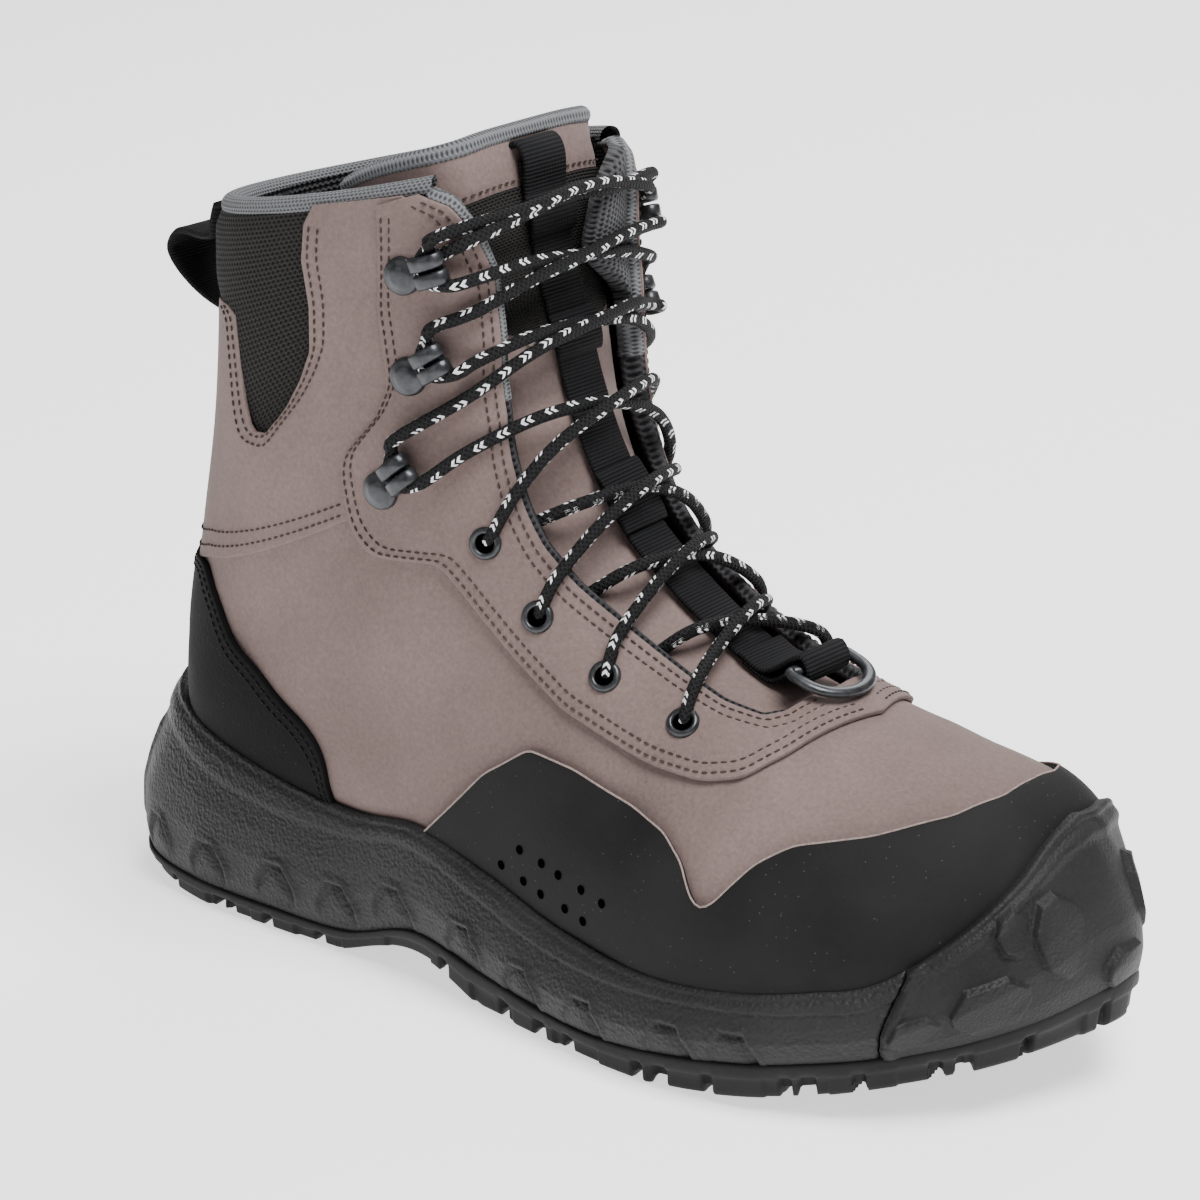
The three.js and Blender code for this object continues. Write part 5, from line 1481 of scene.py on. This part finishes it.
def make_hooks():
    plate = [(-1.0, 0.65), (3.0, 0.65), (9.4, 0.7), (12.0, 1.4)]
    prong = [(8.6, 0.7), (11.4, 1.1), (13.2, 2.4), (13.6, 4.0), (12.6, 5.6), (10.4, 6.2), (7.8, 6.0),
             (5.8, 5.2)]
    dome = [(0.01, 2.7), (1.8, 2.6), (3.0, 2.25), (3.5, 1.7), (4.2, 1.6), (4.85, 1.15), (5.0, 0.0)]
    for name, side in (("outer", -1), ("inner", 1)):
        for i, (u, a) in enumerate(HOOKS):
            bm = new_bmesh()
            matrix = seat(u, a * side, OVERLAY_TOP + 0.2)
            hook_arm(bm, plate, 7.6, 0.0, matrix)
            for across in (-2.25, 2.25):
                hook_arm(bm, prong, 3.7, across, matrix)
            turned(bm, dome, matrix, 28)
            piece(f"hook_plate_{name}_{i + 1}", bm, METAL, replaces=[f"hook_{name}_{i + 1}"])


make_ring()
make_ring_tab()
make_pull_loop()
make_eyelets()
make_hooks()


# Laces
def strand(u, a, edge, over):
    """A lace drawn across the throat, over or under the other."""
    sag = 175 * (edge ** 2 - min(a * a, edge ** 2))
    return on_last(u, a, 4.4 - sag + 3.1 * over * math.exp(-(a / 0.09) ** 2))


def lace_route(start):
    """One lace from its lowest eyelet up to the far top hook; start is its side at the bottom."""
    side = start
    points = []
    high = 1 if start < 0 else 0
    for row, (u, a) in enumerate(EYELETS):
        next_u, next_a = EYELETS[row + 1] if row < 3 else HOOKS[0]
        over = (row + high) % 2
        points.append(on_last(u - 0.01, a * side, -2.2))
        points.append(on_last(u, a * side, 0.6))
        points.append(on_last(u + 0.05, (a - 0.02) * side, 2.9))
        points.append(strand(mix(u, next_u, 0.16), (a - 0.065) * side, 0.17, over))
        points.append(strand(mix(u, next_u, 0.33), 0.1 * side, 0.17, over))
        points.append(strand(mix(u, next_u, 0.5), 0.0, 0.17, over))
        side = -side
        points.append(strand(mix(u, next_u, 0.66), 0.1 * side, 0.17, over))
        if row < 3:
            points.append(on_last(mix(u, next_u, 0.82), 0.172 * side, -3.6))
            points.append(on_last(next_u - 0.1, (next_a - 0.02) * side, -4.4))
        else:
            points.append(strand(mix(u, next_u, 0.78), 0.19 * side, 0.19, over))
    for row, (u, a) in enumerate(HOOKS):
        matrix = seat(u, a * side, OVERLAY_TOP)
        low = 1 if matrix.to_3x3().col[1].z < 0 else -1
        bend = [(16, 5.4 * low, 3.4), (12.0, 4.8 * low, 3.4), (8.0, 3.0 * low, 3.4), (6.8, 0, 3.5),
                (8.0, -3.0 * low, 3.4), (11.5, -5.4 * low, 3.5), (15, -7.4 * low, 3.9)]
        points += [np.array(matrix @ Vector((x * MM, y * MM, z * MM))) / MM for x, y, z in bend]
        if row < 2:
            next_u = HOOKS[row + 1][0]
            over = (row + high) % 2
            points.append(strand(mix(u, next_u, 0.36), 0.19 * side, 0.19, over))
            points.append(strand(mix(u, next_u, 0.44), 0.1 * side, 0.19, over))
            points.append(strand(mix(u, next_u, 0.54), 0.0, 0.19, over))
            side = -side
            points.append(strand(mix(u, next_u, 0.65), 0.1 * side, 0.19, over))
            points.append(strand(mix(u, next_u, 0.74), 0.18 * side, 0.19, over))
    u = HOOKS[2][0]
    points.append(strand(u + 0.46 + 0.12 * high, 0.1 * side, 0.2, high))
    points.append(strand(u + 0.52 + 0.16 * high, 0.0, 0.2, high))
    points.append(strand(u + 0.46 + 0.12 * high, -0.1 * side, 0.2, high))
    points.append(on_last(u + 0.34, -0.21 * side, 4.6))
    points.append(on_last(u + 0.12, -0.285 * side, 4.2))
    return through(points, 0.9)


def make_laces():
    for start, name, nodes in ((-1, "lace_one", (1, 3, 5)), (1, "lace_two", (2, 4, 6))):
        bm = new_bmesh()
        swept(bm, lace_route(start), circle(LACE_RADIUS, 14))
        piece(name, bm, LACE, replaces=[f"lace_crossing_{i}" for i in nodes])


make_laces()


def make_insole():
    bm = new_bmesh()

    def place(s, t):
        place_at = mix(1.0, LAST_STATION - 1.6, t)
        xy = across_sole(place_at, s, 13.0)
        x = xy[:, 0] - SHIFT[0]
        level = np.interp(x / LENGTH + 0.5, [0.06, 0.2, 0.32, 0.45, 0.58, 0.68, 0.78, 0.85, 0.9, 0.935, 0.96],
                          [0.03, 0.015, 0, -0.12, -0.25, -0.31, -0.3, -0.26, -0.19, -0.11, 0.045])
        z = height(level) + 4.6 + 2.5 * np.abs(2 * s - 1) ** 4
        return np.column_stack([xy, z]), pattern(s * 70, t * 240)

    lay(bm, 24, 80, place, (0, 0, 1))
    piece("insole_sheet", bm, INSOLE_CLOTH, replaces=["insole"])


make_insole()
